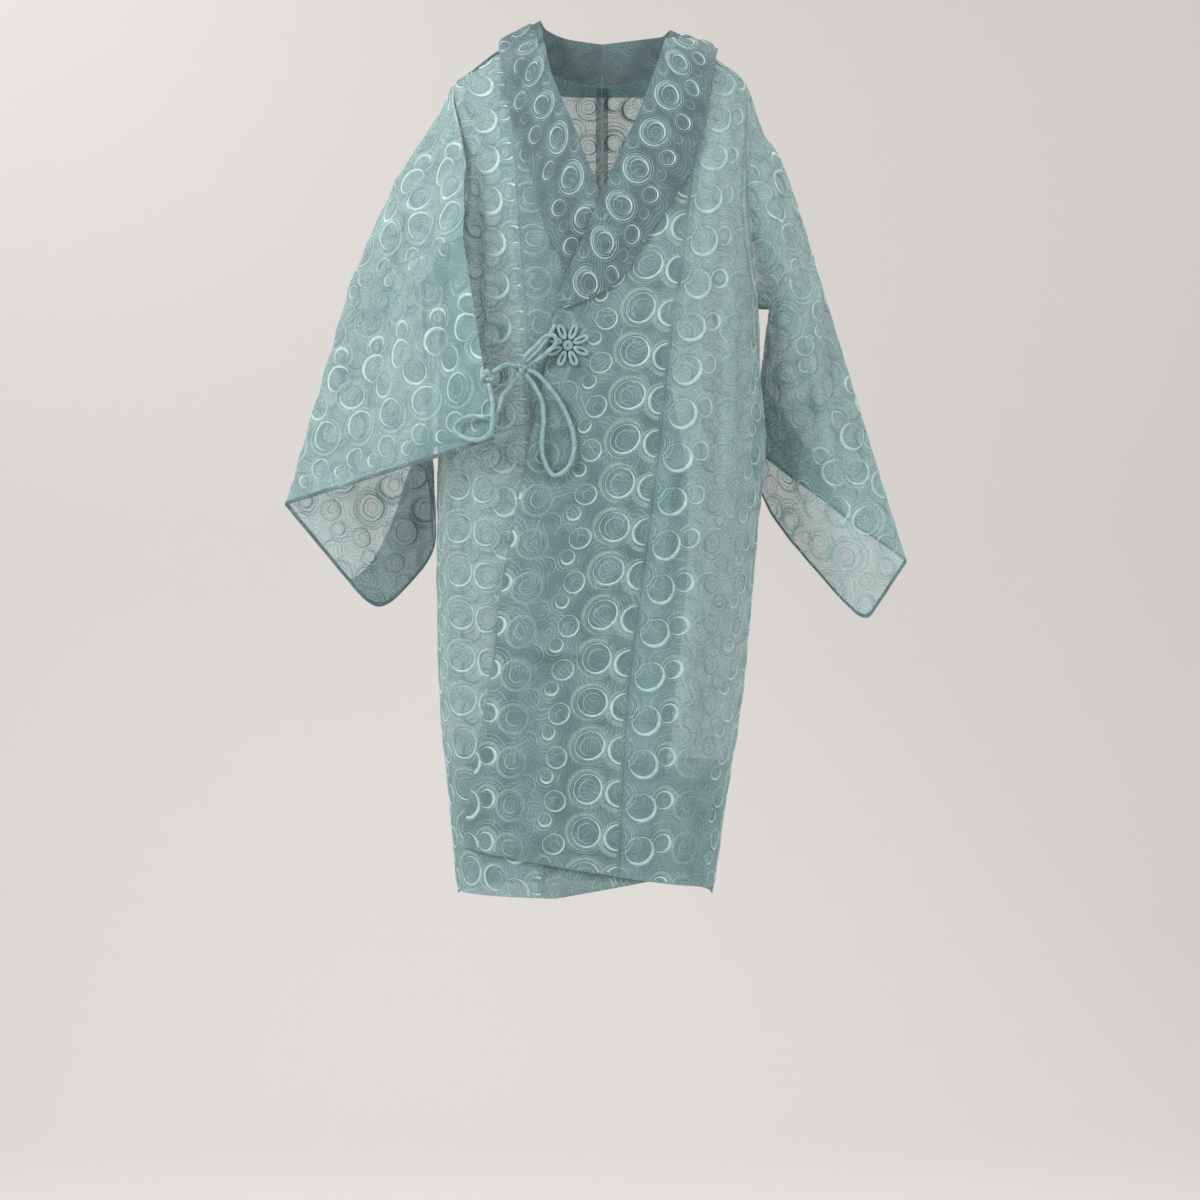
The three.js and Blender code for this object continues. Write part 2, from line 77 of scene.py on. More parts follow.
# Colours are linear red, green and blue.
ORGANZA_LIGHT = (0.32, 0.52, 0.52)
ORGANZA_SHADE = (0.23, 0.40, 0.41)
DOUBLED_LIGHT = (0.182, 0.292, 0.295)
DOUBLED_SHADE = (0.130, 0.218, 0.224)
THREAD_BRIGHT = (0.45, 0.63, 0.615)
THREAD_SOFT = (0.27, 0.42, 0.42)
STITCH = (0.24, 0.38, 0.38)
TURNED_LIGHT = (0.150, 0.275, 0.275)
TURNED_SHADE = (0.110, 0.210, 0.212)
COLLAR_LIGHT = (0.118, 0.192, 0.205)
COLLAR_SHADE = (0.085, 0.145, 0.158)
CORD = (0.26, 0.43, 0.43)
SATIN_DARKER = 0.78  # share of a thread's colour in its shade
BACKDROP = (0.64, 0.622, 0.602)

SHEEN_ROUGHNESS = 0.45
CLOTH_ROUGHNESS, CLOTH_SHEEN = 0.62, 0.25
HAZE_ROUGHNESS, HAZE_SHEEN = 0.5, 0.4

# The fine worked lines run in rings round scattered centres. Centimetres, apart from scatter.
ECHO = {"cell": 4.4, "spacing": 0.42, "bend": 1.6, "scatter": 0.85}
# Scale and detail of each noise. The cloth's scales are to the centimetre, the threads' to the metre.
CLOTH_NOISE = {"drift": (0.35, 3.0), "fuzz": (9.0, 2.0), "bend": (0.5, 1.0), "weave": (22.0, 1.0)}
THREAD_NOISE = {"tone": (160.0, 2.0), "ridges": (1400.0, 1.0), "floss": (900.0, 2.0)}
# The range of a noise or wave that counts, and what it becomes where that isn't 0 to 1.
LINE_RANGE = (0.5, 0.98)
PATCH_RANGE = (0.42, 0.60, 0.25, 1.0)
TONE_RANGE = (0.35, 0.65)
SPECKLE_RANGE = (0.35, 0.70, -0.04, 0.10)
THREAD_RANGE = (0.3, 0.7)
LINE_COVER = 0.3  # how much of the bare ground a worked line covers
LINE_HEIGHT = 0.6  # of a worked line, against the weave
HAZE_SPREAD = 0.4  # how far the haze's alpha strays from its mean, as a share of it
CLOTH_BUMP = (0.35, 0.0004)  # strength, and depth in metres
THREAD_BUMP = (0.4, 0.0003)


def add_node(tree, kind, **values):
    """A node with its sockets or properties set by name; a node's output is joined to the socket it names."""
    node = tree.nodes.new(kind)
    for name, value in values.items():
        label = name.replace("_", " ")
        if hasattr(node, name):
            setattr(node, name, value)
        elif isinstance(value, bpy.types.NodeSocket):
            tree.links.new(value, node.inputs[label])
        else:
            node.inputs[label].default_value = value
    return node


def math_node(tree, operation, first, second=0.0):
    node = tree.nodes.new("ShaderNodeMath")
    node.operation = operation
    for socket, value in zip(node.inputs, (first, second)):
        if isinstance(value, bpy.types.NodeSocket):
            tree.links.new(value, socket)
        else:
            socket.default_value = value
    return node.outputs[0]


def range_node(tree, value, low, high, to_low=0.0, to_high=1.0):
    node = tree.nodes.new("ShaderNodeMapRange")
    node.interpolation_type = "SMOOTHSTEP"
    tree.links.new(value, node.inputs["Value"])
    for name, number in (("From Min", low), ("From Max", high), ("To Min", to_low), ("To Max", to_high)):
        node.inputs[name].default_value = number
    return node.outputs["Result"]


def mixed_colour(tree, share, first, second):
    node = tree.nodes.new("ShaderNodeMix")
    node.data_type = "RGBA"
    tree.links.new(share, node.inputs["Factor"])
    for name, value in (("A", first), ("B", second)):
        socket = next(s for s in node.inputs if s.name == name and s.type == "RGBA")
        if isinstance(value, bpy.types.NodeSocket):
            tree.links.new(value, socket)
        else:
            socket.default_value = (*value, 1)
    return next(s for s in node.outputs if s.type == "RGBA")


def new_material(name, roughness, sheen):
    material = bpy.data.materials.new(name)
    material.use_nodes = True
    tree = material.node_tree
    shader = tree.nodes["Principled BSDF"]
    shader.inputs["Roughness"].default_value = roughness
    shader.inputs["Sheen Weight"].default_value = sheen
    shader.inputs["Sheen Roughness"].default_value = SHEEN_ROUGHNESS
    return material, tree, shader


def noise(tree, where, scale, detail, output="Fac"):
    return add_node(tree, "ShaderNodeTexNoise", Vector=where, Scale=scale, Detail=detail).outputs[output]


def add_bump(tree, shader, height, strength, depth):
    bump = add_node(tree, "ShaderNodeBump", Height=height, Strength=strength, Distance=depth)
    tree.links.new(bump.outputs["Normal"], shader.inputs["Normal"])


def cloth_material(name, light, shade, cover, grain):
    """Organza: a sheer ground with fine worked lines. cover is the alpha of the bare ground."""
    material, tree, shader = new_material(name, CLOTH_ROUGHNESS, CLOTH_SHEEN)
    cloth = add_node(tree, "ShaderNodeUVMap", uv_map="cloth").outputs["UV"]
    drift = noise(tree, cloth, *CLOTH_NOISE["drift"])
    fuzz = noise(tree, cloth, *CLOTH_NOISE["fuzz"])
    bend = noise(tree, cloth, *CLOTH_NOISE["bend"], "Color")
    bent = tree.nodes.new("ShaderNodeVectorMath")
    bent.operation = "MULTIPLY_ADD"
    tree.links.new(bend, bent.inputs[0])
    bent.inputs[1].default_value = (ECHO["bend"], ECHO["bend"], 0)
    tree.links.new(cloth, bent.inputs[2])
    away = add_node(
        tree, "ShaderNodeTexVoronoi", voronoi_dimensions="2D", feature="F1",
        Vector=bent.outputs["Vector"], Scale=1 / ECHO["cell"], Randomness=ECHO["scatter"],
    ).outputs["Distance"]
    rings = math_node(tree, "MULTIPLY", away, 2 * math.pi * ECHO["cell"] / ECHO["spacing"])
    lines = range_node(tree, math_node(tree, "SINE", rings), *LINE_RANGE)
    patches = range_node(tree, drift, *PATCH_RANGE)
    worked = math_node(tree, "MULTIPLY", math_node(tree, "MULTIPLY", lines, patches), grain)
    weave = noise(tree, cloth, *CLOTH_NOISE["weave"])
    ground = mixed_colour(tree, range_node(tree, drift, *TONE_RANGE), shade, light)
    tree.links.new(mixed_colour(tree, worked, ground, THREAD_SOFT), shader.inputs["Base Color"])
    bare = math_node(tree, "ADD", range_node(tree, fuzz, *SPECKLE_RANGE), cover)
    line_cover = math_node(tree, "MULTIPLY", worked, LINE_COVER * (1 - cover))
    tree.links.new(math_node(tree, "ADD", bare, line_cover), shader.inputs["Alpha"])
    height = math_node(tree, "ADD", math_node(tree, "MULTIPLY", worked, LINE_HEIGHT), weave)
    add_bump(tree, shader, height, *CLOTH_BUMP)
    return material


def thread_material(name, colour, roughness, sheen):
    """Satin stitches: fine ridges and a little change of tone along the thread."""
    material, tree, shader = new_material(name, roughness, sheen)
    where = add_node(tree, "ShaderNodeTexCoord").outputs["Object"]
    share = range_node(tree, noise(tree, where, *THREAD_NOISE["tone"]), *THREAD_RANGE)
    darker = tuple(SATIN_DARKER * c for c in colour)
    tree.links.new(mixed_colour(tree, share, darker, colour), shader.inputs["Base Color"])
    add_bump(tree, shader, noise(tree, where, *THREAD_NOISE["ridges"]), *THREAD_BUMP)
    return material


def haze_material(name, colour, cover):
    """Loose floss that lets the ground show through. cover is its mean alpha."""
    material, tree, shader = new_material(name, HAZE_ROUGHNESS, HAZE_SHEEN)
    where = add_node(tree, "ShaderNodeTexCoord").outputs["Object"]
    shader.inputs["Base Color"].default_value = (*colour, 1)
    spread = (cover * (1 - HAZE_SPREAD), cover * (1 + HAZE_SPREAD))
    alpha = range_node(tree, noise(tree, where, *THREAD_NOISE["floss"]), *THREAD_RANGE, *spread)
    tree.links.new(alpha, shader.inputs["Alpha"])
    return material


# Cloth: its colours, its ground's alpha and its worked lines' strength. Thread: colour, roughness, sheen.
MATERIALS = {
    "organza": cloth_material("organza", ORGANZA_LIGHT, ORGANZA_SHADE, 0.30, 0.8),
    "organza_doubled": cloth_material("organza_doubled", DOUBLED_LIGHT, DOUBLED_SHADE, 0.72, 0.9),
    "collar": cloth_material("organza_collar", COLLAR_LIGHT, COLLAR_SHADE, 0.78, 0.5),
    "turned": cloth_material("organza_turned", TURNED_LIGHT, TURNED_SHADE, 0.38, 0.5),
    "thread_bright": thread_material("thread_bright", THREAD_BRIGHT, 0.38, 0.4),
    "thread_soft": thread_material("thread_soft", THREAD_SOFT, 0.5, 0.3),
    "thread_haze": haze_material("thread_haze", THREAD_BRIGHT, 0.30),
    "stitch": thread_material("stitch_thread", STITCH, 0.5, 0.2),
    "cord": thread_material("satin_cord", CORD, 0.35, 0.4),
}

# ---- Meshes ----


def add_piece(name, points, faces, materials, uvs=None, face_material=None, crease=35):
    """A mesh object from points in millimetres, on the root body."""
    mesh = bpy.data.meshes.new(name)
    mesh.from_pydata((np.asarray(points) * MM).tolist(), [], faces)
    for key in materials:
        mesh.materials.append(MATERIALS[key])
    if face_material is not None:
        mesh.polygons.foreach_set("material_index", np.asarray(face_material, dtype=np.int32))
    if uvs is not None:
        corners = np.empty(len(mesh.loops), dtype=np.int32)
        mesh.loops.foreach_get("vertex_index", corners)
        layer = mesh.uv_layers.new(name="cloth")
        layer.data.foreach_set("uv", (np.asarray(uvs)[corners] * CM_PER_MM).ravel())
    mesh.polygons.foreach_set("use_smooth", np.ones(len(mesh.polygons), dtype=bool))
    mesh.set_sharp_from_angle(angle=math.radians(crease))
    piece = add_object(name, mesh)
    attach(piece, "root")
    return piece


def unit(vectors):
    return vectors / np.maximum(np.linalg.norm(vectors, axis=-1, keepdims=True), 1e-9)


def ease(share):
    share = np.clip(share, 0, 1)
    return share * share * (3 - 2 * share)


# ---- Cords ----

CORD_RADIUS = 2.5
CORD_STEP = 1.2
CORD_SIDES = 12
SEAM = 0.3
CLOSED_SEAM = 0.02  # the gap shown at the centre back
KNOTS = {
    "tie_knot": {"centre": (-84, -118, -368), "radius": 7, "tilt": 0.4},
    "side_knot": {"centre": (-119, -147.3, -380), "radius": 8, "tilt": 1.3},
}
# A knot's points, its cord's radius and how far the cord's line stays inside the ball, both in cord radii,
# and the line's depth to each side in ball radii.
KNOT = {"points": 72, "cord": 0.98, "inset": 0.9, "depth": 0.385}
CORD_ROUTES = {
    "tie_lead_left": {
        "ends": (None, "tie_knot"),
        "through": [(-49, -115.6, -322), (-56, -117, -335), (-65, -118, -348)],
    },
    "tie_loop_top": {
        "ends": ("tie_knot", "tie_knot"),
        "through": [
            (-80, -128, -357), (-68, -127, -345), (-59, -127, -336), (-50, -125, -335),
            (-48, -124, -342), (-56, -124, -351), (-66, -123, -359),
        ],
    },
    "tie_loop_long": {
        "ends": ("tie_knot", "tie_knot"),
        "through": [
            (-70, -120, -373), (-56, -121, -387), (-41, -122, -409), (-32, -122, -430), (-29, -122, -450),
            (-33, -122, -468), (-42, -122, -478), (-51, -122, -480), (-60, -122, -466), (-63, -122, -448),
            (-61, -122, -424), (-63, -121, -402), (-72, -120, -385),
        ],
    },
    "tie_lead_right": {
        "ends": ("tie_knot", "side_knot"),
        "through": [(-98, -126, -365), (-106, -136, -369)],
    },
    "tie_loop_hanging": {
        "ends": ("tie_knot", "side_knot"),
        "through": [
            (-91, -123, -381), (-98, -133, -391), (-104, -146, -402), (-107, -151, -414), (-118, -148, -421),
            (-135, -140, -420), (-150, -131, -426), (-153, -130, -434), (-143, -136, -442),
            (-127, -146, -445), (-115, -153, -438), (-113, -155, -422), (-113, -154, -408),
            (-115, -152, -396),
        ],
    },
}


def smooth_path(points, step, closed=False):
    """Points about a step apart on a centripetal Catmull-Rom curve through the given ones."""
    points = np.asarray(points, dtype=float)
    if closed:
        around = np.vstack([points[-1:], points, points[:2]])
    else:
        around = np.vstack([2 * points[:1] - points[1:2], points, 2 * points[-1:] - points[-2:-1]])
    path = []
    for p0, p1, p2, p3 in zip(around, around[1:], around[2:], around[3:]):
        gaps = [math.sqrt(max(np.linalg.norm(b - a), 1e-6)) for a, b in ((p0, p1), (p1, p2), (p2, p3))]
        start = ((p1 - p0) / gaps[0] - (p2 - p0) / (gaps[0] + gaps[1]) + (p2 - p1) / gaps[1]) * gaps[1]
        end = ((p2 - p1) / gaps[1] - (p3 - p1) / (gaps[1] + gaps[2]) + (p3 - p2) / gaps[2]) * gaps[1]
        count = max(int(round(np.linalg.norm(p2 - p1) / step)), 2)
        w = (np.arange(count) / count)[:, None]
        path.append(
            (2 * w**3 - 3 * w**2 + 1) * p1 + (w**3 - 2 * w**2 + w) * start
            + (3 * w**2 - 2 * w**3) * p2 + (w**3 - w**2) * end
        )
    if not closed:
        path.append(points[-1:])
    return np.vstack(path)


FIRST_SIDE = (0.3, 1, 0.2)  # a cord's first ring is set by this way, which no cord starts along
STRAND_ROUNDNESS = 0.7


def ring_faces(rings, sides, closed=False):
    """Faces of a tube whose points come ring by ring, with its ends covered unless it is closed."""
    faces = []
    for i in range(rings if closed else rings - 1):
        a, b = i * sides, ((i + 1) % rings) * sides
        faces += [(a + j, a + (j + 1) % sides, b + (j + 1) % sides, b + j) for j in range(sides)]
    if not closed:
        faces += [tuple(range(sides))[::-1], tuple((rings - 1) * sides + j for j in range(sides))]
    return faces


def tube(path, radius, sides, closed=False, strands=3, turn_length=14.0, groove=0.16):
    """Points and faces of a twisted cord along a path, its section made of as many lobes as strands."""
    ahead = np.roll(path, -1, axis=0) - np.roll(path, 1, axis=0)
    if not closed:
        ahead[0] = path[1] - path[0]
        ahead[-1] = path[-1] - path[-2]
    ahead = unit(ahead)
    side = np.zeros_like(path)
    side[0] = unit(np.cross(ahead[0], FIRST_SIDE))
    for k in range(1, len(path)):
        side[k] = unit(side[k - 1] - ahead[k] * np.dot(side[k - 1], ahead[k]))
    over = np.cross(ahead, side)
    run = np.concatenate([[0], np.cumsum(np.linalg.norm(np.diff(path, axis=0), axis=1))])
    if closed:
        turns = max(round(run[-1] / turn_length), 1)
        run = run / (run[-1] * len(path) / (len(path) - 1)) * turns * turn_length
    angle = np.linspace(0, 2 * math.pi, sides, endpoint=False)
    phase = angle[None, :] - 2 * math.pi * run[:, None] / turn_length / strands
    reach = radius * (1 - groove * (1 - np.abs(np.cos(strands * phase / 2)) ** STRAND_ROUNDNESS))
    offset = side[:, None] * np.cos(angle)[None, :, None] + over[:, None] * np.sin(angle)[None, :, None]
    points = (path[:, None] + offset * reach[..., None]).reshape(-1, 3)
    return points, ring_faces(len(path), sides, closed)


def route_points(route):
    """The points of a route, with an end on the surface of each knot that it names."""
    points = [np.array(p, dtype=float) for p in route["through"]]

    def on_knot(name, neighbour):
        middle = np.array(KNOTS[name]["centre"], dtype=float)
        return middle + unit(neighbour - middle) * (KNOTS[name]["radius"] + SEAM)

    start, end = route["ends"]
    first, last = points[0], points[-1]
    if start:
        points.insert(0, on_knot(start, first))
    if end:
        points.append(on_knot(end, last))
    return points


def add_wound(name, node, points, faces):
    """A piece of cord in the place of one of the part's nodes."""
    piece = add_piece(name, points, faces, ["cord"])
    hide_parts(node)
    return piece


def add_cords():
    for name, route in CORD_ROUTES.items():
        path = smooth_path(route_points(route), CORD_STEP)
        add_wound(f"{name}_cord", name, *tube(path, CORD_RADIUS, CORD_SIDES))


def add_knots():
    """A pulled trefoil of cord in the place of each knot's ball."""
    turn = np.linspace(0, 2 * math.pi, KNOT["points"], endpoint=False)
    for name, knot in KNOTS.items():
        spread = (knot["radius"] - KNOT["inset"] * CORD_RADIUS) / 3
        across = spread * (np.sin(turn) + 2 * np.sin(2 * turn))
        deep = -KNOT["depth"] * knot["radius"] * np.sin(3 * turn)
        up = spread * (np.cos(turn) - 2 * np.cos(2 * turn))
        c, s = math.cos(knot["tilt"]), math.sin(knot["tilt"])
        loop = np.stack([across, deep, up], axis=1) @ np.array([[c, 0, s], [0, 1, 0], [-s, 0, c]])
        wound = tube(np.array(knot["centre"]) + loop, KNOT["cord"] * CORD_RADIUS, CORD_SIDES, closed=True)
        add_wound(f"{name}_wound", name, *wound)


add_cords()
add_knots()

# ---- The body hollow ----


class Table:
    """Rows that run downwards in z, read between them by a smooth curve."""

    def __init__(self, columns, rows):
        values = np.array(rows, dtype=float)
        self.columns = {name: values[:, k] for k, name in enumerate(columns)}

    def at(self, column, z):
        heights, values = self.columns["z"], self.columns[column]
        z = np.clip(np.asarray(z, dtype=float), heights[-1], heights[0])
        k = np.clip(np.searchsorted(-heights, -z, side="right") - 1, 0, len(heights) - 2)
        above = np.maximum(np.arange(len(heights)) - 1, 0)
        below = np.minimum(np.arange(len(heights)) + 1, len(heights) - 1)
        slope = (values[below] - values[above]) / (heights[below] - heights[above])
        step = heights[k + 1] - heights[k]
        w = (z - heights[k]) / step
        chord = (values[k + 1] - values[k]) / step
        bend = w * (1 - w) * step * ((1 - w) * slope[k] - w * slope[k + 1] - chord * (1 - 2 * w))
        return values[k] * (1 - w) + values[k + 1] * w + bend


FULLNESS = 2.5
BODY = Table(
    ("z", "right", "left", "front", "back"),
    [
        (-4, 112, 112, 16, 16), (-14, 126, 121, 34, 38), (-27, 142, 140, 48, 58), (-43, 162, 157, 60, 74),
        (-76, 167, 164, 78, 93), (-130, 168, 165, 96, 107), (-200, 171, 167, 107, 112),
        (-290, 176, 171, 113, 110), (-368, 179, 174, 116, 110), (-440, 180, 179, 117, 112),
        (-530, 181, 171, 116, 113), (-610, 181, 164, 114, 113), (-722, 178, 153, 110, 111),
        (-830, 168, 136, 104, 107), (-933, 159, 122, 98, 102),
    ],
)
ARM = {"right": {"top": -45, "under": -266, "depth": 60}, "left": {"top": -48, "under": -290, "depth": 44}}
OPENING_ROUNDNESS = 0.7
SLOPE_TURN = 0.02  # how far to each side the body's slope is taken, as a turn and in millimetres of height
SLOPE_RISE = 2


def on_body(turn, z):
    c, s = np.cos(turn), np.sin(turn)
    reach_x = np.where(c < 0, BODY.at("right", z), BODY.at("left", z))
    reach_y = np.where(s < 0, BODY.at("front", z), BODY.at("back", z))
    power = 2 / FULLNESS
    x = np.sign(c) * reach_x * np.abs(c) ** power
    y = np.sign(s) * reach_y * np.abs(s) ** power
    return np.stack(np.broadcast_arrays(x, y, z), axis=-1).astype(float)


def across_body(turn, z):
    return on_body(turn + SLOPE_TURN, z) - on_body(turn - SLOPE_TURN, z)


def body_point(turn, z, lift):
    up = on_body(turn, z + SLOPE_RISE) - on_body(turn, z - SLOPE_RISE)
    return on_body(turn, z) + unit(np.cross(across_body(turn, z), up)) * np.asarray(lift)[..., None]


def turn_at_x(x, z):
    reach = np.where(x < 0, BODY.at("right", z), BODY.at("left", z))
    share = np.minimum(np.abs(x) / reach, 1)
    return -np.arccos(np.sign(x) * share ** (FULLNESS / 2))


def opening_depth(side, z):
    down = np.clip((ARM[side]["top"] - z) / (ARM[side]["top"] - ARM[side]["under"]), 0, 1)
    return ARM[side]["depth"] * np.sin(math.pi * down).clip(0) ** OPENING_ROUNDNESS


def side_turn(side, facing, z):
    reach = BODY.at("front" if facing < 0 else "back", z)
    aside = np.arcsin(np.minimum(opening_depth(side, z) / reach, 1) ** (FULLNESS / 2))
    return facing * aside if side == "left" else facing * (math.pi - aside)


def shifted(turn, z, distance):
    """A turn moved on by a distance along the body."""
    per_turn = np.linalg.norm(across_body(turn, z), axis=-1) / (2 * SLOPE_TURN)
    return turn + distance / per_turn


# ---- Folds ----

# Soft ridges (height over 0) and troughs, each from one point to another in x and z. They fade out past
# their ends and over their width. The over front is the left one.
FOLD_COLUMNS = ("x0", "z0", "x1", "z1", "width", "height")
OVER_FOLDS = [
    (20, -428, 2, -535, 7, -2.2), (2, -535, -16, -690, 8, -2.6), (34, -440, 16, -620, 12, 2.2),
    (-6, -700, -20, -860, 10, -1.6), (-70, -674, -18, -680, 6, -2.2), (-16, -676, -4, -640, 6, -1.8),
    (-66, -664, -24, -668, 8, 1.8), (52, -350, 40, -430, 9, 1.6), (70, -470, 62, -640, 8, 2.0),
    (82, -480, 74, -700, 7, -1.6), (112, -330, 96, -560, 11, 2.4), (124, -300, 112, -520, 9, -2.2),
    (139, -260, 132, -600, 9, 2.6), (100, -600, 84, -830, 12, 2.2), (116, -640, 104, -860, 10, -2.0),
    (60, -680, 44, -880, 12, 1.8), (-60, -400, -84, -560, 14, 1.6), (-40, -730, -60, -880, 16, 1.8),
    (132, -76, 128, -240, 6, 2.2), (141, -90, 139, -210, 5, -2.0), (118, -120, 116, -260, 7, 1.6),
    (151, -150, 152, -290, 6, 2.2), (144, -300, 150, -420, 7, -1.8),
]
UNDER_FOLDS = [
    (-163, -460, -160, -640, 6, 3.0), (-146, -450, -138, -700, 6, -2.4), (-132, -470, -126, -660, 7, 1.8),
    (-160, -640, -150, -830, 7, 2.6), (-140, -700, -132, -860, 6, -2.2), (-122, -640, -112, -840, 8, 1.6),
    (-100, -450, -96, -560, 7, -1.6), (-150, -60, -143, -150, 5, 2.4), (-139, -70, -134, -190, 5, -2.2),
    (-146, -150, -138, -330, 6, 2.4), (-134, -180, -131, -350, 5, -2.4), (-122, -190, -118, -340, 6, 1.8),
    (-150, -380, -148, -470, 7, 2.0), (-112, -360, -108, -440, 7, -1.6),
]
BACK_FOLDS = [
    (-120, -120, -128, -420, 9, 2.6), (-104, -150, -110, -380, 8, -2.4), (-60, -200, -70, -560, 14, 2.2),
    (-36, -300, -40, -640, 12, -1.8), (30, -220, 34, -520, 13, 2.0), (62, -260, 60, -560, 10, -2.2),
    (96, -130, 104, -400, 9, 2.6), (116, -200, 118, -460, 8, -2.2), (132, -160, 138, -430, 8, 2.2),
    (-140, -420, -132, -760, 11, 2.6), (-96, -560, -88, -900, 13, 2.4), (-64, -620, -58, -890, 10, -2.0),
    (8, -560, 4, -900, 16, 2.0), (70, -580, 58, -890, 12, 2.4), (98, -520, 84, -860, 10, -2.2),
    (124, -480, 104, -820, 10, 2.2), (-30, -110, 30, -104, 12, -1.6), (-76, -90, -60, -190, 9, 1.8),
]
SLEEVE_FOLDS = {
    "right": {
        "front": [
            (-256, -226, -200, -196, 11, 1.8), (-250, -262, -186, -236, 11, -1.6),
            (-222, -140, -206, -196, 11, 1.6), (-190, -110, -180, -190, 10, -1.8),
            (-164, -100, -160, -190, 9, 1.8), (-262, -250, -300, -420, 14, 2.4),
            (-232, -262, -262, -440, 12, -2.6), (-196, -250, -216, -400, 13, 2.4),
            (-166, -250, -176, -400, 11, -2.2), (-146, -280, -142, -400, 9, 2.0),
            (-320, -410, -336, -490, 9, 2.0), (-270, -440, -280, -482, 9, -1.8),
        ],
        "rear": [
            (-236, -240, -250, -560, 12, 2.6), (-214, -260, -214, -500, 10, -2.4),
            (-262, -270, -290, -540, 12, -2.2), (-196, -190, -190, -360, 10, 2.2),
            (-290, -330, -316, -500, 10, 2.2),
        ],
    },
    "left": {
        "front": [
            (180, -300, 176, -400, 5, 2.2), (188, -304, 188, -430, 5, -2.4), (198, -296, 204, -420, 7, 2.2),
            (212, -270, 228, -420, 9, -2.2), (226, -262, 252, -470, 12, 2.4),
            (238, -300, 274, -540, 11, -2.2), (262, -420, 300, -590, 11, 2.2),
            (196, -420, 210, -500, 9, -1.8), (214, -440, 240, -560, 10, 2.0),
            (176, -110, 186, -226, 7, 2.0), (190, -140, 204, -236, 6, -2.0),
        ],
        "rear": [
            (226, -250, 250, -500, 12, 2.4), (206, -270, 214, -460, 9, -2.2),
            (250, -300, 290, -540, 11, -2.2), (190, -200, 200, -330, 9, 2.0),
        ],
    },
}
FOLD_GAIN = 2.3
STEEPEST = 0.5  # the most height a fold has, as a share of its width
# How fast a fold fades at its ends, and where the cloth turns away from the side that the fold is on.
FOLD_FADE = {"ends": 4, "edge": 0.12, "edge_rate": 2.2}
# Long waves over all of the cloth: how many to the millimetre across and up, their height and their phase.
WAVES = [(0.031, 0.012, 0.35, 0.4), (-0.017, 0.026, 0.3, 1.9), (0.052, -0.021, 0.16, 4.1)]
WAVE_LEAN = 0.6  # share of the depth that counts as width
NECK_FADE = {"from": 20, "over": 50}  # how far down from z = 0 folds set in, and take to stand in full
# Where one front lies over the other: the deepest trough of the over front and how far past the under edge
# that holds, the width over which the under front's folds fade, and how far it is set back.
OVERLAP = {"trough": -2.3, "reach": 14, "fade": 16, "behind": 0.3}


def fold_height(points, normals, rows, facing):
    """How far cloth at each point moves out, for the folds on its front (facing -1) or back (1)."""
    x, z = points[..., 0], points[..., 2]
    height = np.zeros(x.shape)
    for row in rows:
        fold = dict(zip(FOLD_COLUMNS, row))
        along_x, along_z = fold["x1"] - fold["x0"], fold["z1"] - fold["z0"]
        share = ((x - fold["x0"]) * along_x + (z - fold["z0"]) * along_z) / (along_x**2 + along_z**2)
        near = np.clip(share, 0, 1)
        away = np.hypot(x - fold["x0"] - near * along_x, z - fold["z0"] - near * along_z)
        taper = ease(np.minimum(share, 1 - share) * FOLD_FADE["ends"] + 0.5)
        most = STEEPEST * fold["width"]
        crest = min(max(FOLD_GAIN * fold["height"], -most), most)
        height += crest * np.exp(-((away / fold["width"]) ** 2)) * taper
    return height * ease((facing * normals[..., 1] - FOLD_FADE["edge"]) * FOLD_FADE["edge_rate"])


def waviness(points):
    x, z = points[..., 0] + WAVE_LEAN * points[..., 1], points[..., 2]
    return sum(h * np.sin(2 * math.pi * (a * x + b * z) + phase) for a, b, h, phase in WAVES)


# ---- Panels ----


def grid_value(grid, i, j, down, across):
    """A grid's value between its points, down and across being shares of the way to the next ones."""
    upper = (1 - across) * grid[i, j] + across * grid[i, j + 1]
    lower = (1 - across) * grid[i + 1, j] + across * grid[i + 1, j + 1]
    return (1 - down) * upper + down * lower


def grid_slopes(grid, i, j, down, across):
    g00, g10, g01, g11 = grid[i, j], grid[i + 1, j], grid[i, j + 1], grid[i + 1, j + 1]
    return (1 - across) * (g10 - g00) + across * (g11 - g01), (1 - down) * (g01 - g00) + down * (g11 - g10)


# How cloth coordinates are found on a grid: from the nearest point of a coarse grid, in steps of so many
# cells at most, and a little past the edges. A point counts that is near enough and not on the very edge.
PLACING = {"coarse": 5, "rounds": 9, "most": 9, "past": 3, "margin": 0.06, "near": 1.0}


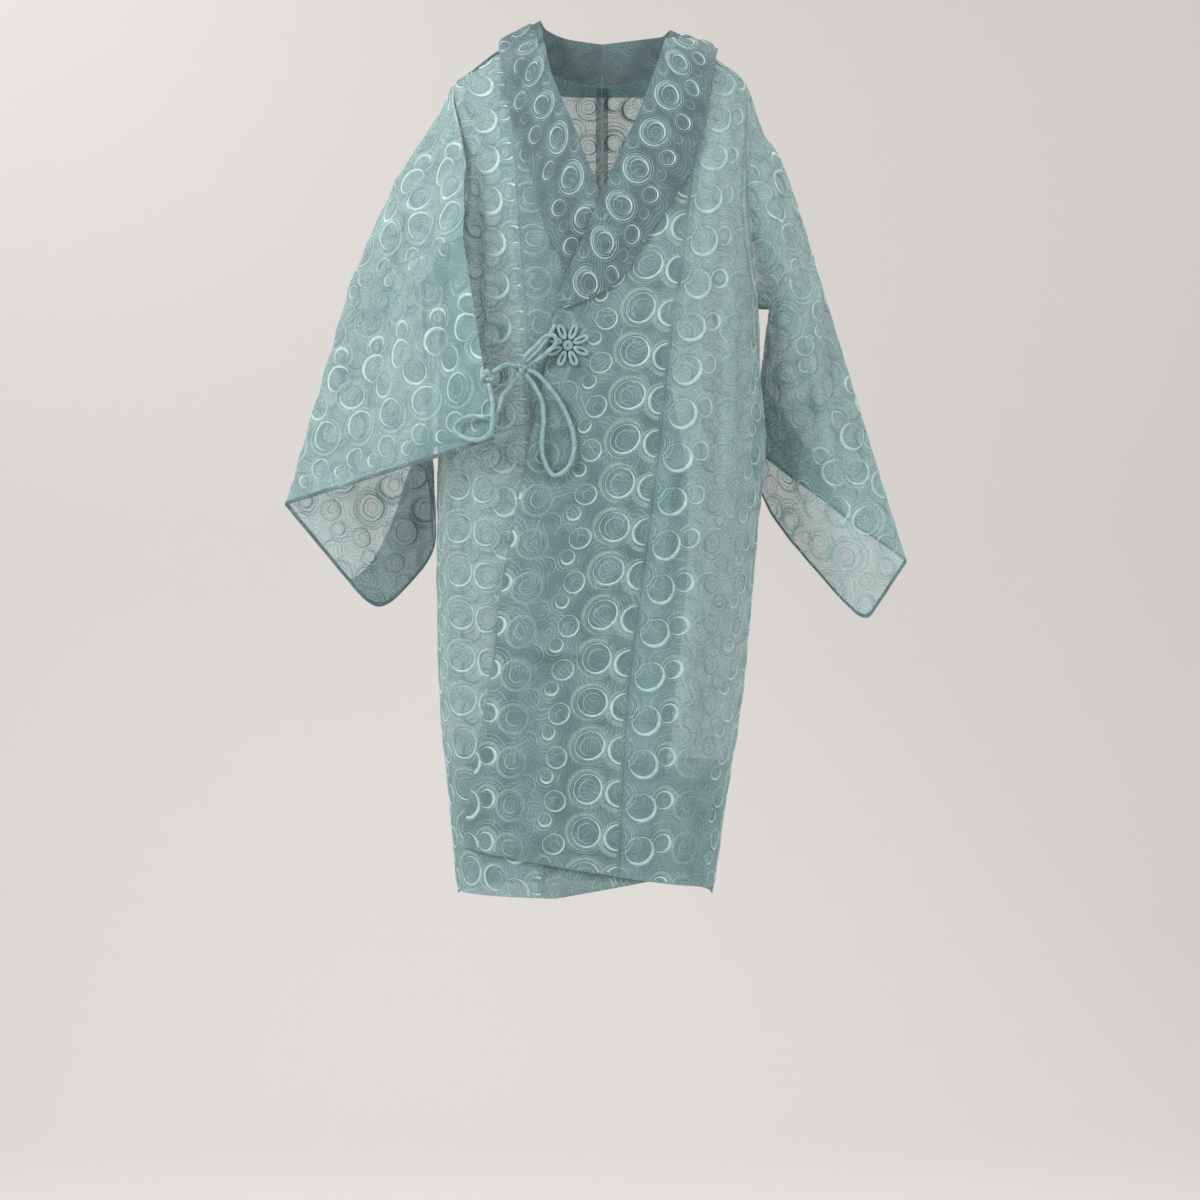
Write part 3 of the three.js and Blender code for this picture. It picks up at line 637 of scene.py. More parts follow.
class Panel:
    """A fine grid of outer points with the cloth's own coordinates s and t at each, in millimetres.

    Rows run down and columns anticlockwise. s and t are the chart's way across and along the cloth.
    """

    def __init__(self, name, points, s, t):
        self.name, self.points, self.s, self.t = name, points, s, t
        self.find_normals()

    def find_normals(self):
        self.normals = unit(np.cross(np.gradient(self.points, axis=0), np.gradient(self.points, axis=1)))

    def move_out(self, height):
        self.points = self.points + self.normals * height[..., None]
        self.find_normals()

    def cell_at(self, u, v):
        """The row and column of the cell at a place on the grid, and the shares of the way across it."""
        i = np.clip(np.floor(u).astype(int), 0, self.s.shape[0] - 2)
        j = np.clip(np.floor(v).astype(int), 0, self.s.shape[1] - 2)
        return i, j, u - i, v - j

    def nearest(self, s, t):
        """The coarse grid's point nearest to each row of cloth coordinates, as a place on the grid."""
        rows, columns = (np.arange(0, count, PLACING["coarse"]) for count in self.s.shape)
        near = np.ix_(rows, columns)
        gap = (self.s[near].ravel()[None] - s.mean(axis=1)[:, None]) ** 2
        gap = gap + (self.t[near].ravel()[None] - t.mean(axis=1)[:, None]) ** 2
        best = gap.argmin(axis=1)
        places = rows[best // len(columns)], columns[best % len(columns)]
        return [np.repeat(place[:, None].astype(float), s.shape[1], axis=1) for place in places]

    def place(self, s, t, lift):
        """World points at cloth coordinates, and which of them lie on the panel."""
        shape = s.shape
        rows, columns = self.s.shape
        s, t, lift = (values.reshape(shape[0], -1) for values in (s, t, lift))
        u, v = self.nearest(s, t)
        most, past, margin = PLACING["most"], PLACING["past"], PLACING["margin"]
        for _ in range(PLACING["rounds"]):
            cell = self.cell_at(u, v)
            miss_s, miss_t = s - grid_value(self.s, *cell), t - grid_value(self.t, *cell)
            (su, sv), (tu, tv) = grid_slopes(self.s, *cell), grid_slopes(self.t, *cell)
            det = su * tv - sv * tu
            det = np.where(np.abs(det) < 1e-6, 1e-6, det)
            move_u, move_v = (miss_s * tv - miss_t * sv) / det, (miss_t * su - miss_s * tu) / det
            u = np.clip(u + np.clip(move_u, -most, most), -past, rows - 1 + past)
            v = np.clip(v + np.clip(move_v, -most, most), -past, columns - 1 + past)
        inside = (u > margin) & (u < rows - 1 - margin) & (v > margin) & (v < columns - 1 - margin)
        inside &= np.hypot(miss_s, miss_t) < PLACING["near"]
        i, j, down, across = self.cell_at(u, v)
        cell = (i, j, down[..., None], across[..., None])
        where = grid_value(self.points, *cell) + unit(grid_value(self.normals, *cell)) * lift[..., None]
        return where.reshape(*shape, 3), inside.reshape(shape)

    def shell(self, name, material, lift, thickness, rows=slice(None)):
        """A thin closed shell of cloth, lift inside the outer points, on all or some of the rows."""
        points, normals = self.points[rows], self.normals[rows]
        uv = np.stack([self.s[rows], self.t[rows]], axis=-1).reshape(-1, 2)
        return shell_piece(name, material, points - normals * lift, normals, thickness, uv)


def shell_piece(name, material, outer, normals, thickness, uv):
    count_i, count_j = outer.shape[:2]
    inner = outer - normals * thickness
    ids = np.arange(count_i * count_j).reshape(count_i, count_j)
    under = ids + ids.size

    def quads(a, b, c, d):
        return np.stack([a.ravel(), b.ravel(), c.ravel(), d.ravel()], axis=1)

    faces = np.vstack(
        [
            quads(ids[:-1, :-1], ids[1:, :-1], ids[1:, 1:], ids[:-1, 1:]),
            quads(under[:-1, :-1], under[:-1, 1:], under[1:, 1:], under[1:, :-1]),
            quads(ids[0, :-1], ids[0, 1:], under[0, 1:], under[0, :-1]),
            quads(ids[-1, 1:], ids[-1, :-1], under[-1, :-1], under[-1, 1:]),
            quads(ids[1:, 0], ids[:-1, 0], under[:-1, 0], under[1:, 0]),
            quads(ids[:-1, -1], ids[1:, -1], under[1:, -1], under[:-1, -1]),
        ]
    )
    points = np.vstack([outer.reshape(-1, 3), inner.reshape(-1, 3)])
    return add_piece(name, points, faces.tolist(), [material], np.vstack([uv, uv]))


def run_of(points, axis):
    """Arc length along an axis of a grid, from its first row or column."""
    steps = np.linalg.norm(np.diff(points, axis=axis), axis=-1)
    start = np.zeros_like(np.take(steps, [0], axis=axis))
    return np.concatenate([start, np.cumsum(steps, axis=axis)], axis=axis)


# ---- Body pieces ----

HEM_Z = -933
UNDER_HEM = {"z": -927, "x": -50, "slope": 0.18}
OVER_HEM = {"z": -903, "x": 18, "slope": 0.163}
CENTRE_BACK_TOP_Z = -32
UNDER_STEP = {"depth": -5, "from_x": -172, "to_x": -132}
LEVEL_T = -300  # at this height t is the height itself on all body pieces, so that their charts agree
PROFILE = {"past_hem": 60, "top": 30, "step": 2.0}  # the stretch of the body's profile that t is measured on
# The chart's s along the seam of each front and its band. It isn't matched over the under front's seam.
SEAM_S = {"front_right": -6, "band_right": 0, "over": 134}
NECK_Z = {
    "back_right": -6, "back_left": -14, "front_right": -6,
    "band_right": -10, "band_left": -18, "front_left": -16,
}
PANEL_COLUMNS = {
    "back_right": 28, "back_left": 28, "front_right": 24, "band_right": 28, "band_left": 30, "front_left": 26,
}
PANEL_ROWS = (9, 40, 108)  # from the neck to the sleeve, down the sleeve's opening, and on to the hem
LINES = {
    "under_band_side": [(-6, -109), (-86, -99), (-242, -87), (-316, -81), (-600, -70), (-933, -62)],
    "under_edge": [
        (-6, -106), (-90, -80), (-159, -56), (-220, -26), (-266, 8), (-330, 52), (-450, 86), (-568, 92),
        (-700, 80), (-894, 56),
    ],
    "over_edge": [
        (-16, 116), (-72, 92), (-125, 74), (-170, 54), (-215, 28), (-267, -8), (-305, -46), (-320, -53),
        (-400, -65), (-474, -81), (-610, -107), (-685, -115), (-772, -129), (-876, -147),
    ],
    "over_band_side": [
        (-16, 119), (-156, 97), (-257, 85), (-327, 74), (-485, 56), (-610, 40), (-716, 27), (-903, 18),
    ],
}
LINES = {name: Table(("z", "x"), rows) for name, rows in LINES.items()}


def side_of(name):
    return name.rsplit("_", 1)[1]


def levels(top_z, side, hem_z):
    """The heights of a body piece's rows, as a column."""
    ends = (top_z, ARM[side]["top"], ARM[side]["under"], hem_z)
    runs = [np.linspace(a, b, n, endpoint=False) for a, b, n in zip(ends, ends[1:], PANEL_ROWS)]
    return np.concatenate(runs + [[hem_z]])[:, None]


def line_turn(name):
    return lambda z: turn_at_x(LINES[name].at("x", z), z)


def side_seam(side):
    return lambda z: side_turn(side, -1, z)


def over_hem(x):
    return OVER_HEM["z"] - OVER_HEM["slope"] * (x - OVER_HEM["x"])


def under_hem(x):
    return UNDER_HEM["z"] + UNDER_HEM["slope"] * np.maximum(x - UNDER_HEM["x"], 0)


def under_lift(x):
    across = UNDER_STEP["to_x"] - UNDER_STEP["from_x"]
    return UNDER_STEP["depth"] * ease((x - UNDER_STEP["from_x"]) / across)


def level_t(points, facing):
    """The length down the body's front or back profile to each point's height, so t runs level all round."""
    heights = np.arange(HEM_Z - PROFILE["past_hem"], PROFILE["top"], PROFILE["step"])
    reach = BODY.at(facing, heights)
    length = np.concatenate([[0], np.cumsum(np.hypot(np.diff(heights), np.diff(reach)))])
    return np.interp(points[..., 2], heights, length) - np.interp(LEVEL_T, heights, length) + LEVEL_T


def back_panel(name):
    side, neck_z = side_of(name), NECK_Z[name]
    sign = 1 if side == "left" else -1
    z = levels(neck_z, side, HEM_Z)
    centre = shifted(np.full(z.shape, math.pi / 2), z, -sign * CLOSED_SEAM / 2)
    edge = shifted(side_turn(side, 1, z), z, sign * SEAM / 2)
    share = np.linspace(0, 1, PANEL_COLUMNS[name] + 1)[None]
    drop = (CENTRE_BACK_TOP_Z - neck_z) * share**2 * (1 - (z - neck_z) / (HEM_Z - neck_z))
    points = body_point(edge + (centre - edge) * share, z + drop, np.zeros_like(z + drop))
    if side == "right":
        points = points[:, ::-1]
    s = run_of(points, 1)
    s = s - s[:, -1:] if side == "left" else s
    panel = Panel(name, points, s, level_t(points, "back"))
    height = fold_height(points, panel.normals, BACK_FOLDS, 1) + waviness(points)
    panel.move_out(height * neck_fade(points))
    return panel


def front_panel(name, turn_from, turn_to, s_first=None, s_last=None):
    """A piece of a front between two lines, with the chart's s given at its first or its last column."""
    side = side_of(name)
    hem_at, lift_at = (over_hem, no_lift) if side == "left" else (under_hem, under_lift)
    nominal = hem_at(OVER_HEM["x"])
    z = levels(NECK_Z[name], side, nominal)
    start, end = shifted(turn_from(z), z, SEAM / 2), shifted(turn_to(z), z, -SEAM / 2)
    turn = start + (end - start) * np.linspace(0, 1, PANEL_COLUMNS[name] + 1)[None]
    x = on_body(turn, z)[..., 0]
    low = np.maximum((z - ARM[side]["under"]) / (nominal - ARM[side]["under"]), 0)
    points = body_point(turn, z + (hem_at(x) - nominal) * low, lift_at(x))
    s = run_of(points, 1)
    s = s + s_first if s_last is None else s - s[:, -1:] + s_last
    panel = Panel(name, points, s, level_t(points, "front"))
    panel.move_out(front_height(panel))
    return panel


def no_lift(x):
    return np.zeros_like(x)


def body_panels():
    line = {name: line_turn(name) for name in LINES}
    return [
        back_panel("back_right"),
        back_panel("back_left"),
        front_panel("front_right", side_seam("right"), line["under_band_side"], s_last=SEAM_S["front_right"]),
        front_panel("band_right", line["under_band_side"], line["under_edge"], s_first=SEAM_S["band_right"]),
        front_panel("band_left", line["over_edge"], line["over_band_side"], s_last=SEAM_S["over"]),
        front_panel("front_left", line["over_band_side"], side_seam("left"), s_first=SEAM_S["over"]),
    ]


def neck_fade(points):
    return ease((-points[..., 2] - NECK_FADE["from"]) / NECK_FADE["over"])


def front_height(panel):
    """The folds of one of the two fronts, and of the collar on it, kept clear of the other front."""
    over = side_of(panel.name) == "left"
    x, z = panel.points[..., 0], panel.points[..., 2]
    past_over = x - LINES["over_edge"].at("x", z)
    past_under = LINES["under_edge"].at("x", z) - x
    rows = OVER_FOLDS if over else UNDER_FOLDS
    height = fold_height(panel.points, panel.normals, rows, -1) + waviness(panel.points)
    if over:
        height = np.where(past_under > -OVERLAP["reach"], np.maximum(height, OVERLAP["trough"]), height)
    else:
        height = height * ease(-past_over / OVERLAP["fade"]) - OVERLAP["behind"]
    return height * neck_fade(panel.points)


# ---- Collar ----

COLLAR_GRID = {"stations": 104, "columns": 12}
# At each station: its neck edge, its outer edge, whether it lies on the body (1) and how far off.
COLLAR_COLUMNS = ("neck_x", "neck_y", "neck_z", "out_x", "out_y", "out_z", "lies", "off")
COLLARS = {
    "right": {
        "lift": -2.5,
        "rows": [
            (-0.15, 78, 20, -0.15, 79, -40, 0, 0), (-40, 64, 23, -58, 74, -37, 0, 0),
            (-62, 36, 26, -96, 45, -16, 0, 0), (-67, 4, 26, -113, 2, 4, 0, 6),
            (-62, -42, -8, -105, -48, -52, 1, 6), (-53, -64, -48, -98, -66, -91, 1, 2),
            (-32, -90, -102, -76, -92, -159, 1, 0), (-15, -100, -147, -67, -99, -190, 1, 0),
            (-1, -105, -183, -59, -104, -220, 1, 0), (10, -108, -216, -48, -107, -244, 1, 0),
            (14, -110, -243, -38, -110, -266, 1, 0), (6, -111, -270, -18, -111, -280, 1, 0),
        ],
    },
    "left": {
        "lift": 2.6,
        "rows": [
            (0.15, 78, 20, 0.15, 79, -40, 0, 0), (42, 64, 22, 62, 78, -37, 0, 0),
            (67, 38, 19, 104, 51, -18, 0, 0), (74, 6, 16, 123, 2, -6, 0, 8),
            (61, -47, -33, 112, -52, -72, 1, 8), (40, -88, -91, 103, -78, -123, 1, 3),
            (19, -100, -138, 86, -92, -170, 1, 0), (-1, -107, -183, 57, -103, -215, 1, 0),
            (-18, -110, -224, 25, -110, -267, 1, 0), (-35, -112, -264, 1, -112, -288, 1, 0),
            (-49, -113, -300, -38, -113, -306, 1, 0),
        ],
    },
}


def collar_panel(side):
    rows, lift = COLLARS[side]["rows"], COLLARS[side]["lift"]
    stations, columns = COLLAR_GRID["stations"], COLLAR_GRID["columns"]
    table = Table(("z", *COLLAR_COLUMNS), [(-k, *row) for k, row in enumerate(rows)])
    place = -np.linspace(0, len(rows) - 1, stations + 1)[:, None]
    value = {name: table.at(name, place) for name in COLLAR_COLUMNS}
    share = np.linspace(0, 1, columns + 1)[None]
    x, y, z = (value[f"neck_{k}"] + (value[f"out_{k}"] - value[f"neck_{k}"]) * share for k in "xyz")
    clear = body_point(turn_at_x(x, z), z, lift + np.maximum(value["off"], 0) + np.zeros_like(x))
    lies = np.clip(value["lies"], 0, 1)[..., None]
    points = np.stack([x, y, z], axis=-1) * (1 - lies) + clear * lies
    reach = np.where(x < 0, BODY.at("right", z), BODY.at("left", z))
    behind = (points[..., 1] < 0) & (np.abs(points[..., 0]) < reach) & (points[..., 1] > clear[..., 1])
    points = np.where(behind[..., None], clear, points)
    s = run_of(points, 1)
    if side == "right":
        points, s = points[:, ::-1], s[:, ::-1]
    t = np.repeat(run_of(points, 0).mean(axis=1, keepdims=True), columns + 1, axis=1)
    panel = Panel(f"collar_{side}", points, s, t)
    panel.move_out(front_height(panel))
    return panel


# ---- Sleeves ----

CLOTH = 1.5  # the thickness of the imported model's cloth
CORNERS = ("crest", "front", "inner", "under", "rear")
SPANS = {"crest": 8, "front": 4, "inner": 4, "under": 4, "rear": 6}
FINER = 5  # columns here for each column of the part
SMOOTHING = 6  # times that the finer ring is smoothed
RINGS = {
    "right": {
        "armhole": {
            "crest": (-275, -5, -262), "front": (-145, -126, -232), "inner": (-176, -72, -246),
            "under": (-194, -8, -266), "rear": (-236, 76, -228),
        },
        "cuff": {
            "crest": (-348, -5, -507), "front": (-111, -144, -445), "inner": (-194, -62, -446),
            "under": (-180, 42, -554), "rear": (-248, 22, -631),
        },
        "sharp": ("crest", "front"),
        "shoulder_bow": 9,
    },
    "left": {
        "armhole": {
            "crest": (233, -8, -240), "front": (202, -52, -262), "inner": (188, -19, -286),
            "under": (184, 28, -292), "rear": (206, 86, -236),
        },
        "cuff": {
            "crest": (335, -5, -569), "front": (287, -10, -640), "inner": (186, 52, -516),
            "under": (164, 104, -430), "rear": (250, 62, -500),
        },
        "sharp": ("crest",),
        "shoulder_bow": 6,
    },
}
CUFF_S = 34  # the chart's s at the cuff
SLEEVE_DEPTH = 220  # cuff to armhole seam
SLEEVE_ROWS = 44
SHOULDER_ROWS = 36
FADES = {"top": 5, "seam": 14}  # folds stand in full at a fifth of the way down, and a 14th in from the seam
OPENING_CORNERS = {"crest": 0, "front": 0.22, "inner": 0.6, "under": 1, "rear": 0.5}
OPENING_END = 0.002  # the ring stops this share of the way short of the opening's two ends


def ring_columns(finer):
    columns = []
    for k, start in enumerate(CORNERS):
        end = CORNERS[(k + 1) % len(CORNERS)]
        count = SPANS[start] * finer
        columns += [(start, end, step / count) for step in range(count)]
    return columns


def softened(ring, kept):
    """A ring of points, each drawn towards its neighbours apart from those that are kept."""
    softer = (2 * ring + np.roll(ring, 1, axis=0) + np.roll(ring, -1, axis=0)) / 4
    return np.where(kept[:, None], ring, softer)


def ring_of(corners, sharp):
    """The part's ring of corners, drawn finer and smoothed, with the sharp corners kept."""
    columns = ring_columns(1)
    ring = np.array([np.array(corners[a]) * (1 - w) + np.array(corners[b]) * w for a, b, w in columns])
    kept = np.array([w == 0 and a in sharp for a, b, w in columns])
    ring = softened(ring, kept)
    w = (np.arange(FINER) / FINER)[None, :, None]
    fine = (ring[:, None] * (1 - w) + np.roll(ring, -1, axis=0)[:, None] * w).reshape(-1, 3)
    kept_fine = np.zeros(len(fine), dtype=bool)
    kept_fine[np.flatnonzero(kept) * FINER] = True
    for _ in range(SMOOTHING):
        fine = softened(fine, kept_fine)
    return fine


def opening_ring(side):
    arm = ARM[side]
    sign = 1 if side == "left" else -1
    points = []
    for start, end, w in ring_columns(FINER):
        facing = 1 if start in ("under", "rear") else -1
        down = OPENING_CORNERS[start] * (1 - w) + OPENING_CORNERS[end] * w
        z = np.array(arm["top"] + (arm["under"] - arm["top"]) * min(max(down, OPENING_END), 1 - OPENING_END))
        lift = SEAM + CLOTH * (1 - math.sin(math.pi * down))
        turn = shifted(side_turn(side, facing, z), z, -facing * sign * SEAM)
        points.append(body_point(turn, z, np.array(lift)))
    return np.array(points)


FLAT_STEP = 5  # the cloth is flattened on every fifth point of the grid
FLAT_ROUNDS = 60
CELL_PAIRS = np.array([(0, 1), (1, 2), (2, 3), (3, 0), (0, 2), (1, 3)])  # a cell's sides and diagonals
LEVEL_STRETCH = 4  # flattened columns in front of the crest whose line at the last row is laid level


def rotated(pairs, angle):
    c, s = np.cos(angle), np.sin(angle)
    return np.stack([c * pairs[..., 0] - s * pairs[..., 1], s * pairs[..., 0] + c * pairs[..., 1]], -1)


def lay_flat(corner, cells, flat):
    """Moves the points of flat until each cell keeps its own shape as well as its neighbours let it."""
    middle = corner.mean(axis=1, keepdims=True)
    across = unit((corner[:, 2] + corner[:, 3] - corner[:, 0] - corner[:, 1]))
    fall = corner[:, 1] + corner[:, 2] - corner[:, 0] - corner[:, 3]
    fall = unit(fall - across * (fall * across).sum(axis=1, keepdims=True))
    ways = (-fall, across)
    local = np.stack([((corner - middle) * way[:, None]).sum(-1) for way in ways], -1)
    a, b = cells[:, CELL_PAIRS[:, 0]], cells[:, CELL_PAIRS[:, 1]]
    wanted = local[:, CELL_PAIRS[:, 0]] - local[:, CELL_PAIRS[:, 1]]
    stiffness = np.zeros((len(flat), len(flat)))
    for first, second, weight in ((a, a, 1), (b, b, 1), (a, b, -1), (b, a, -1)):
        np.add.at(stiffness, (first.ravel(), second.ravel()), weight)
    stiffness[0, 0] += 1
    inverse = np.linalg.inv(stiffness)
    for _ in range(FLAT_ROUNDS):
        now = flat[a] - flat[b]
        turned = (wanted[..., 0] * now[..., 1] - wanted[..., 1] * now[..., 0]).sum(axis=1)
        kept = (wanted * now).sum(axis=(1, 2))
        pull = rotated(wanted, np.arctan2(turned, kept)[:, None])
        force = np.zeros_like(flat)
        np.add.at(force, a.ravel(), pull.reshape(-1, 2))
        np.add.at(force, b.ravel(), -pull.reshape(-1, 2))
        force[0] += flat[0]
        flat = inverse @ force
    return flat


def filled_in(coarse, rows, columns, shape):
    """Values on some rows and columns of a grid, spread to all of it."""
    across = np.array([np.interp(np.arange(shape[1]), columns, row) for row in coarse])
    return np.array([np.interp(np.arange(shape[0]), rows, column) for column in across.T]).T


def flattened(grid, s_end, crest):
    """Cloth coordinates of a grid, laid flat with as little stretch as it allows.

    s falls to s_end at the last row, whose stretch in front of the crest runs level along t.
    """
    rows, columns = (np.unique(np.append(np.arange(0, n, FLAT_STEP), n - 1)) for n in grid.shape[:2])
    coarse = grid[np.ix_(rows, columns)]
    ids = np.arange(len(rows) * len(columns)).reshape(len(rows), len(columns))
    cells = np.stack([ids[:-1, :-1], ids[1:, :-1], ids[1:, 1:], ids[:-1, 1:]], axis=-1).reshape(-1, 4)
    down = run_of(coarse, 0)
    flat = np.stack([down[-1:] - down, run_of(coarse, 1)], axis=-1).reshape(-1, 2)
    flat = lay_flat(coarse.reshape(-1, 3)[cells], cells, flat).reshape(*ids.shape, 2)
    at_crest = int(np.abs(columns - crest).argmin())
    front = min(at_crest + LEVEL_STRETCH, len(columns) - 1)
    level = flat[-1, front] - flat[-1, at_crest]
    flat = rotated(flat - flat[-1, at_crest], math.atan2(level[0], level[1]))
    s, t = (filled_in(flat[..., k], rows, columns, grid.shape) for k in (0, 1))
    return s + s_end, t


def tube_panel(name, side, first, last, rows, bow, s_end, fold_fade):
    """A sleeve or shoulder as a panel between two rings, open along the seam under the arm."""
    centre = (first.mean(axis=0) + last.mean(axis=0)) / 2
    share = np.linspace(0, 1, rows + 1)[:, None, None]
    grid = first[None] * (1 - share) + last[None] * share
    out = grid - centre
    out[..., 2] = 0
    grid = grid + unit(out) * bow * np.sin(math.pi * share)
    seam = (SPANS["crest"] + SPANS["front"] + SPANS["inner"]) * FINER
    grid = np.roll(grid, -seam, axis=1)
    grid = np.concatenate([grid, grid[:, :1]], axis=1)
    crest = (SPANS["under"] + SPANS["rear"]) * FINER
    if side == "left":
        grid, crest = grid[:, ::-1], grid.shape[1] - 1 - crest
    around = unit(grid[:, 1:2] - grid[:, :1]) * SEAM / 2
    grid[:, 0] += around[:, 0]
    grid[:, -1] -= unit(grid[:, -1] - grid[:, -2]) * SEAM / 2
    down = unit(grid[1] - grid[0]) * SEAM
    grid[0] += down
    grid[-1] -= unit(grid[-1] - grid[-2]) * SEAM
    s, t = flattened(grid, s_end, crest)
    panel = Panel(name, grid, s, t)
    facings = (("front", -1), ("rear", 1))
    height = sum(fold_height(grid, panel.normals, SLEEVE_FOLDS[side][key], facing) for key, facing in facings)
    fade = ease(np.linspace(0, 1, rows + 1) * FADES["top"])[:, None] if fold_fade else 1.0
    edge = np.linspace(0, 1, grid.shape[1])
    panel.move_out((height + waviness(grid)) * fade * ease(np.minimum(edge, 1 - edge) * FADES["seam"])[None])
    return panel


def sleeve_panels():
    panels = []
    for side in SIDES:
        shape = RINGS[side]
        armhole, cuff = (ring_of(shape[ring], shape["sharp"]) for ring in ("armhole", "cuff"))
        top, bow, top_s = opening_ring(side), shape["shoulder_bow"], CUFF_S + SLEEVE_DEPTH
        panels += [
            tube_panel(f"sleeve_{side}", side, armhole, cuff, SLEEVE_ROWS, 0, CUFF_S, False),
            tube_panel(f"shoulder_{side}", side, top, armhole, SHOULDER_ROWS, bow, top_s, True),
        ]
    return panels


# ---- Embroidery ----

# One repeat of the cloth, charted: s is across and t along, in millimetres. A ring's line is widest
# at thick, in degrees from s towards t, and narrowest on the other side.
REPEAT = {"s": 192, "t": 46}
BRIGHT, SOFT, HAZE = range(3)  # the thread of a ring
RING_COLUMNS = ("s", "t", "radius", "widest", "narrowest", "thick", "thread")
CHART_RINGS = [
    (14, 0, 15.0, 1.0, 0.6, 0, SOFT), (14, 1, 12.4, 0.6, 0.4, 90, SOFT), (12, 2, 17.8, 0.6, 0.4, 90, SOFT),
    (15, 1, 8.6, 1.6, 0.5, 200, SOFT), (15, 1, 4.6, 0.6, 0.4, 0, SOFT), (14, 0, 16.6, 3.0, 0.6, 180, HAZE),
    (31, 22, 10.5, 1.2, 0.4, 30, SOFT), (32, 21, 13.0, 0.5, 0.4, 30, SOFT),
    (31, 22, 6.2, 0.6, 0.4, 0, SOFT), (52, -16, 9.6, 1.0, 0.6, 200, SOFT),
    (53, -14, 7.0, 2.4, 0.5, -70, BRIGHT), (52, -17, 12.2, 0.6, 0.4, 200, SOFT),
    (63, 6, 11.0, 2.0, 0.8, -40, BRIGHT), (63, 6, 8.8, 0.6, 0.4, 0, SOFT),
    (65, 5, 5.0, 0.9, 0.4, 130, SOFT), (97, 18, 15.2, 2.6, 0.8, -40, BRIGHT),
    (97, 18, 17.6, 0.8, 0.6, 0, SOFT), (96, 18, 22.4, 0.8, 0.5, 0, SOFT),
    (98, 17, 10.4, 1.4, 0.5, 150, SOFT), (99, 17, 6.0, 0.6, 0.4, 0, SOFT),
    (96, 18, 19.8, 3.8, 1.0, 140, HAZE), (131, 13, 13.8, 3.2, 0.8, 190, BRIGHT),
    (131, 13, 11.4, 0.6, 0.4, 0, SOFT), (133, 13, 7.0, 1.4, 0.5, 10, SOFT),
    (130, 12, 17.6, 5.2, 1.0, 215, HAZE), (154, -1, 14.6, 4.0, 0.6, -45, BRIGHT),
    (149, 5, 7.4, 1.2, 0.6, 120, SOFT), (154, -1, 17.8, 0.6, 0.4, 0, SOFT),
    (178, 6, 9.6, 3.6, 0.6, 0, BRIGHT), (178, 6, 7.0, 0.5, 0.4, 0, SOFT),
    (179, 8, 17.4, 0.8, 0.5, 60, SOFT), (180, 9, 20.6, 0.8, 0.5, 60, SOFT),
    (178, 7, 13.4, 4.6, 0.8, 50, HAZE),
]
HALO_COLUMNS = ("s", "t", "inner", "outer", "thick", "stitches")
CHART_HALOS = [(129, 11, 15.4, 19.8, 215, 44), (178, 7, 11.6, 15.6, 50, 38)]
COLLAR_REPEAT = {"s": 400, "t": 45}
COLLAR_RINGS = [
    (24, 10, 15.6, 1.8, 0.7, 120, BRIGHT), (24, 10, 18.2, 0.7, 0.5, 0, SOFT),
    (26, 9, 9.8, 2.2, 0.5, -60, BRIGHT), (27, 10, 6.2, 0.7, 0.5, 0, SOFT),
    (24, 10, 12.8, 3.2, 0.6, 200, HAZE), (48, 30, 8.4, 1.9, 0.7, -40, BRIGHT),
    (48, 30, 6.0, 0.6, 0.4, 0, SOFT), (48, 30, 10.8, 0.6, 0.4, 0, SOFT), (50, 6, 5.4, 0.8, 0.5, 0, SOFT),
    (8, 32, 5.6, 1.2, 0.5, 60, SOFT), (8, 32, 8.0, 0.6, 0.4, 0, SOFT),
]
COLLAR_HALOS = [(24, 10, 11.8, 14.2, 200, 40)]
RING_POINTS = {"small": 14, "large": 24, "large_from": 8}  # by the ring's radius
RING_SWELL = 1.6  # how sharply a ring's line swells to its widest
WOBBLE = {"share": 0.035, "by_s": 0.7, "by_t": 0.31}  # how far a ring is from round, and how that varies
# How a halo's stitches vary in length, and their half width.
HALO = {"swell": 0.8, "shortest": 0.35, "uneven": 0.5, "beat": 7.3, "half_width": 0.3}
THREAD_BASE = 0.05  # how far above the cloth stitching starts
THREAD_HEIGHTS = {BRIGHT: 0.6, SOFT: 0.3, HAZE: 0.15}


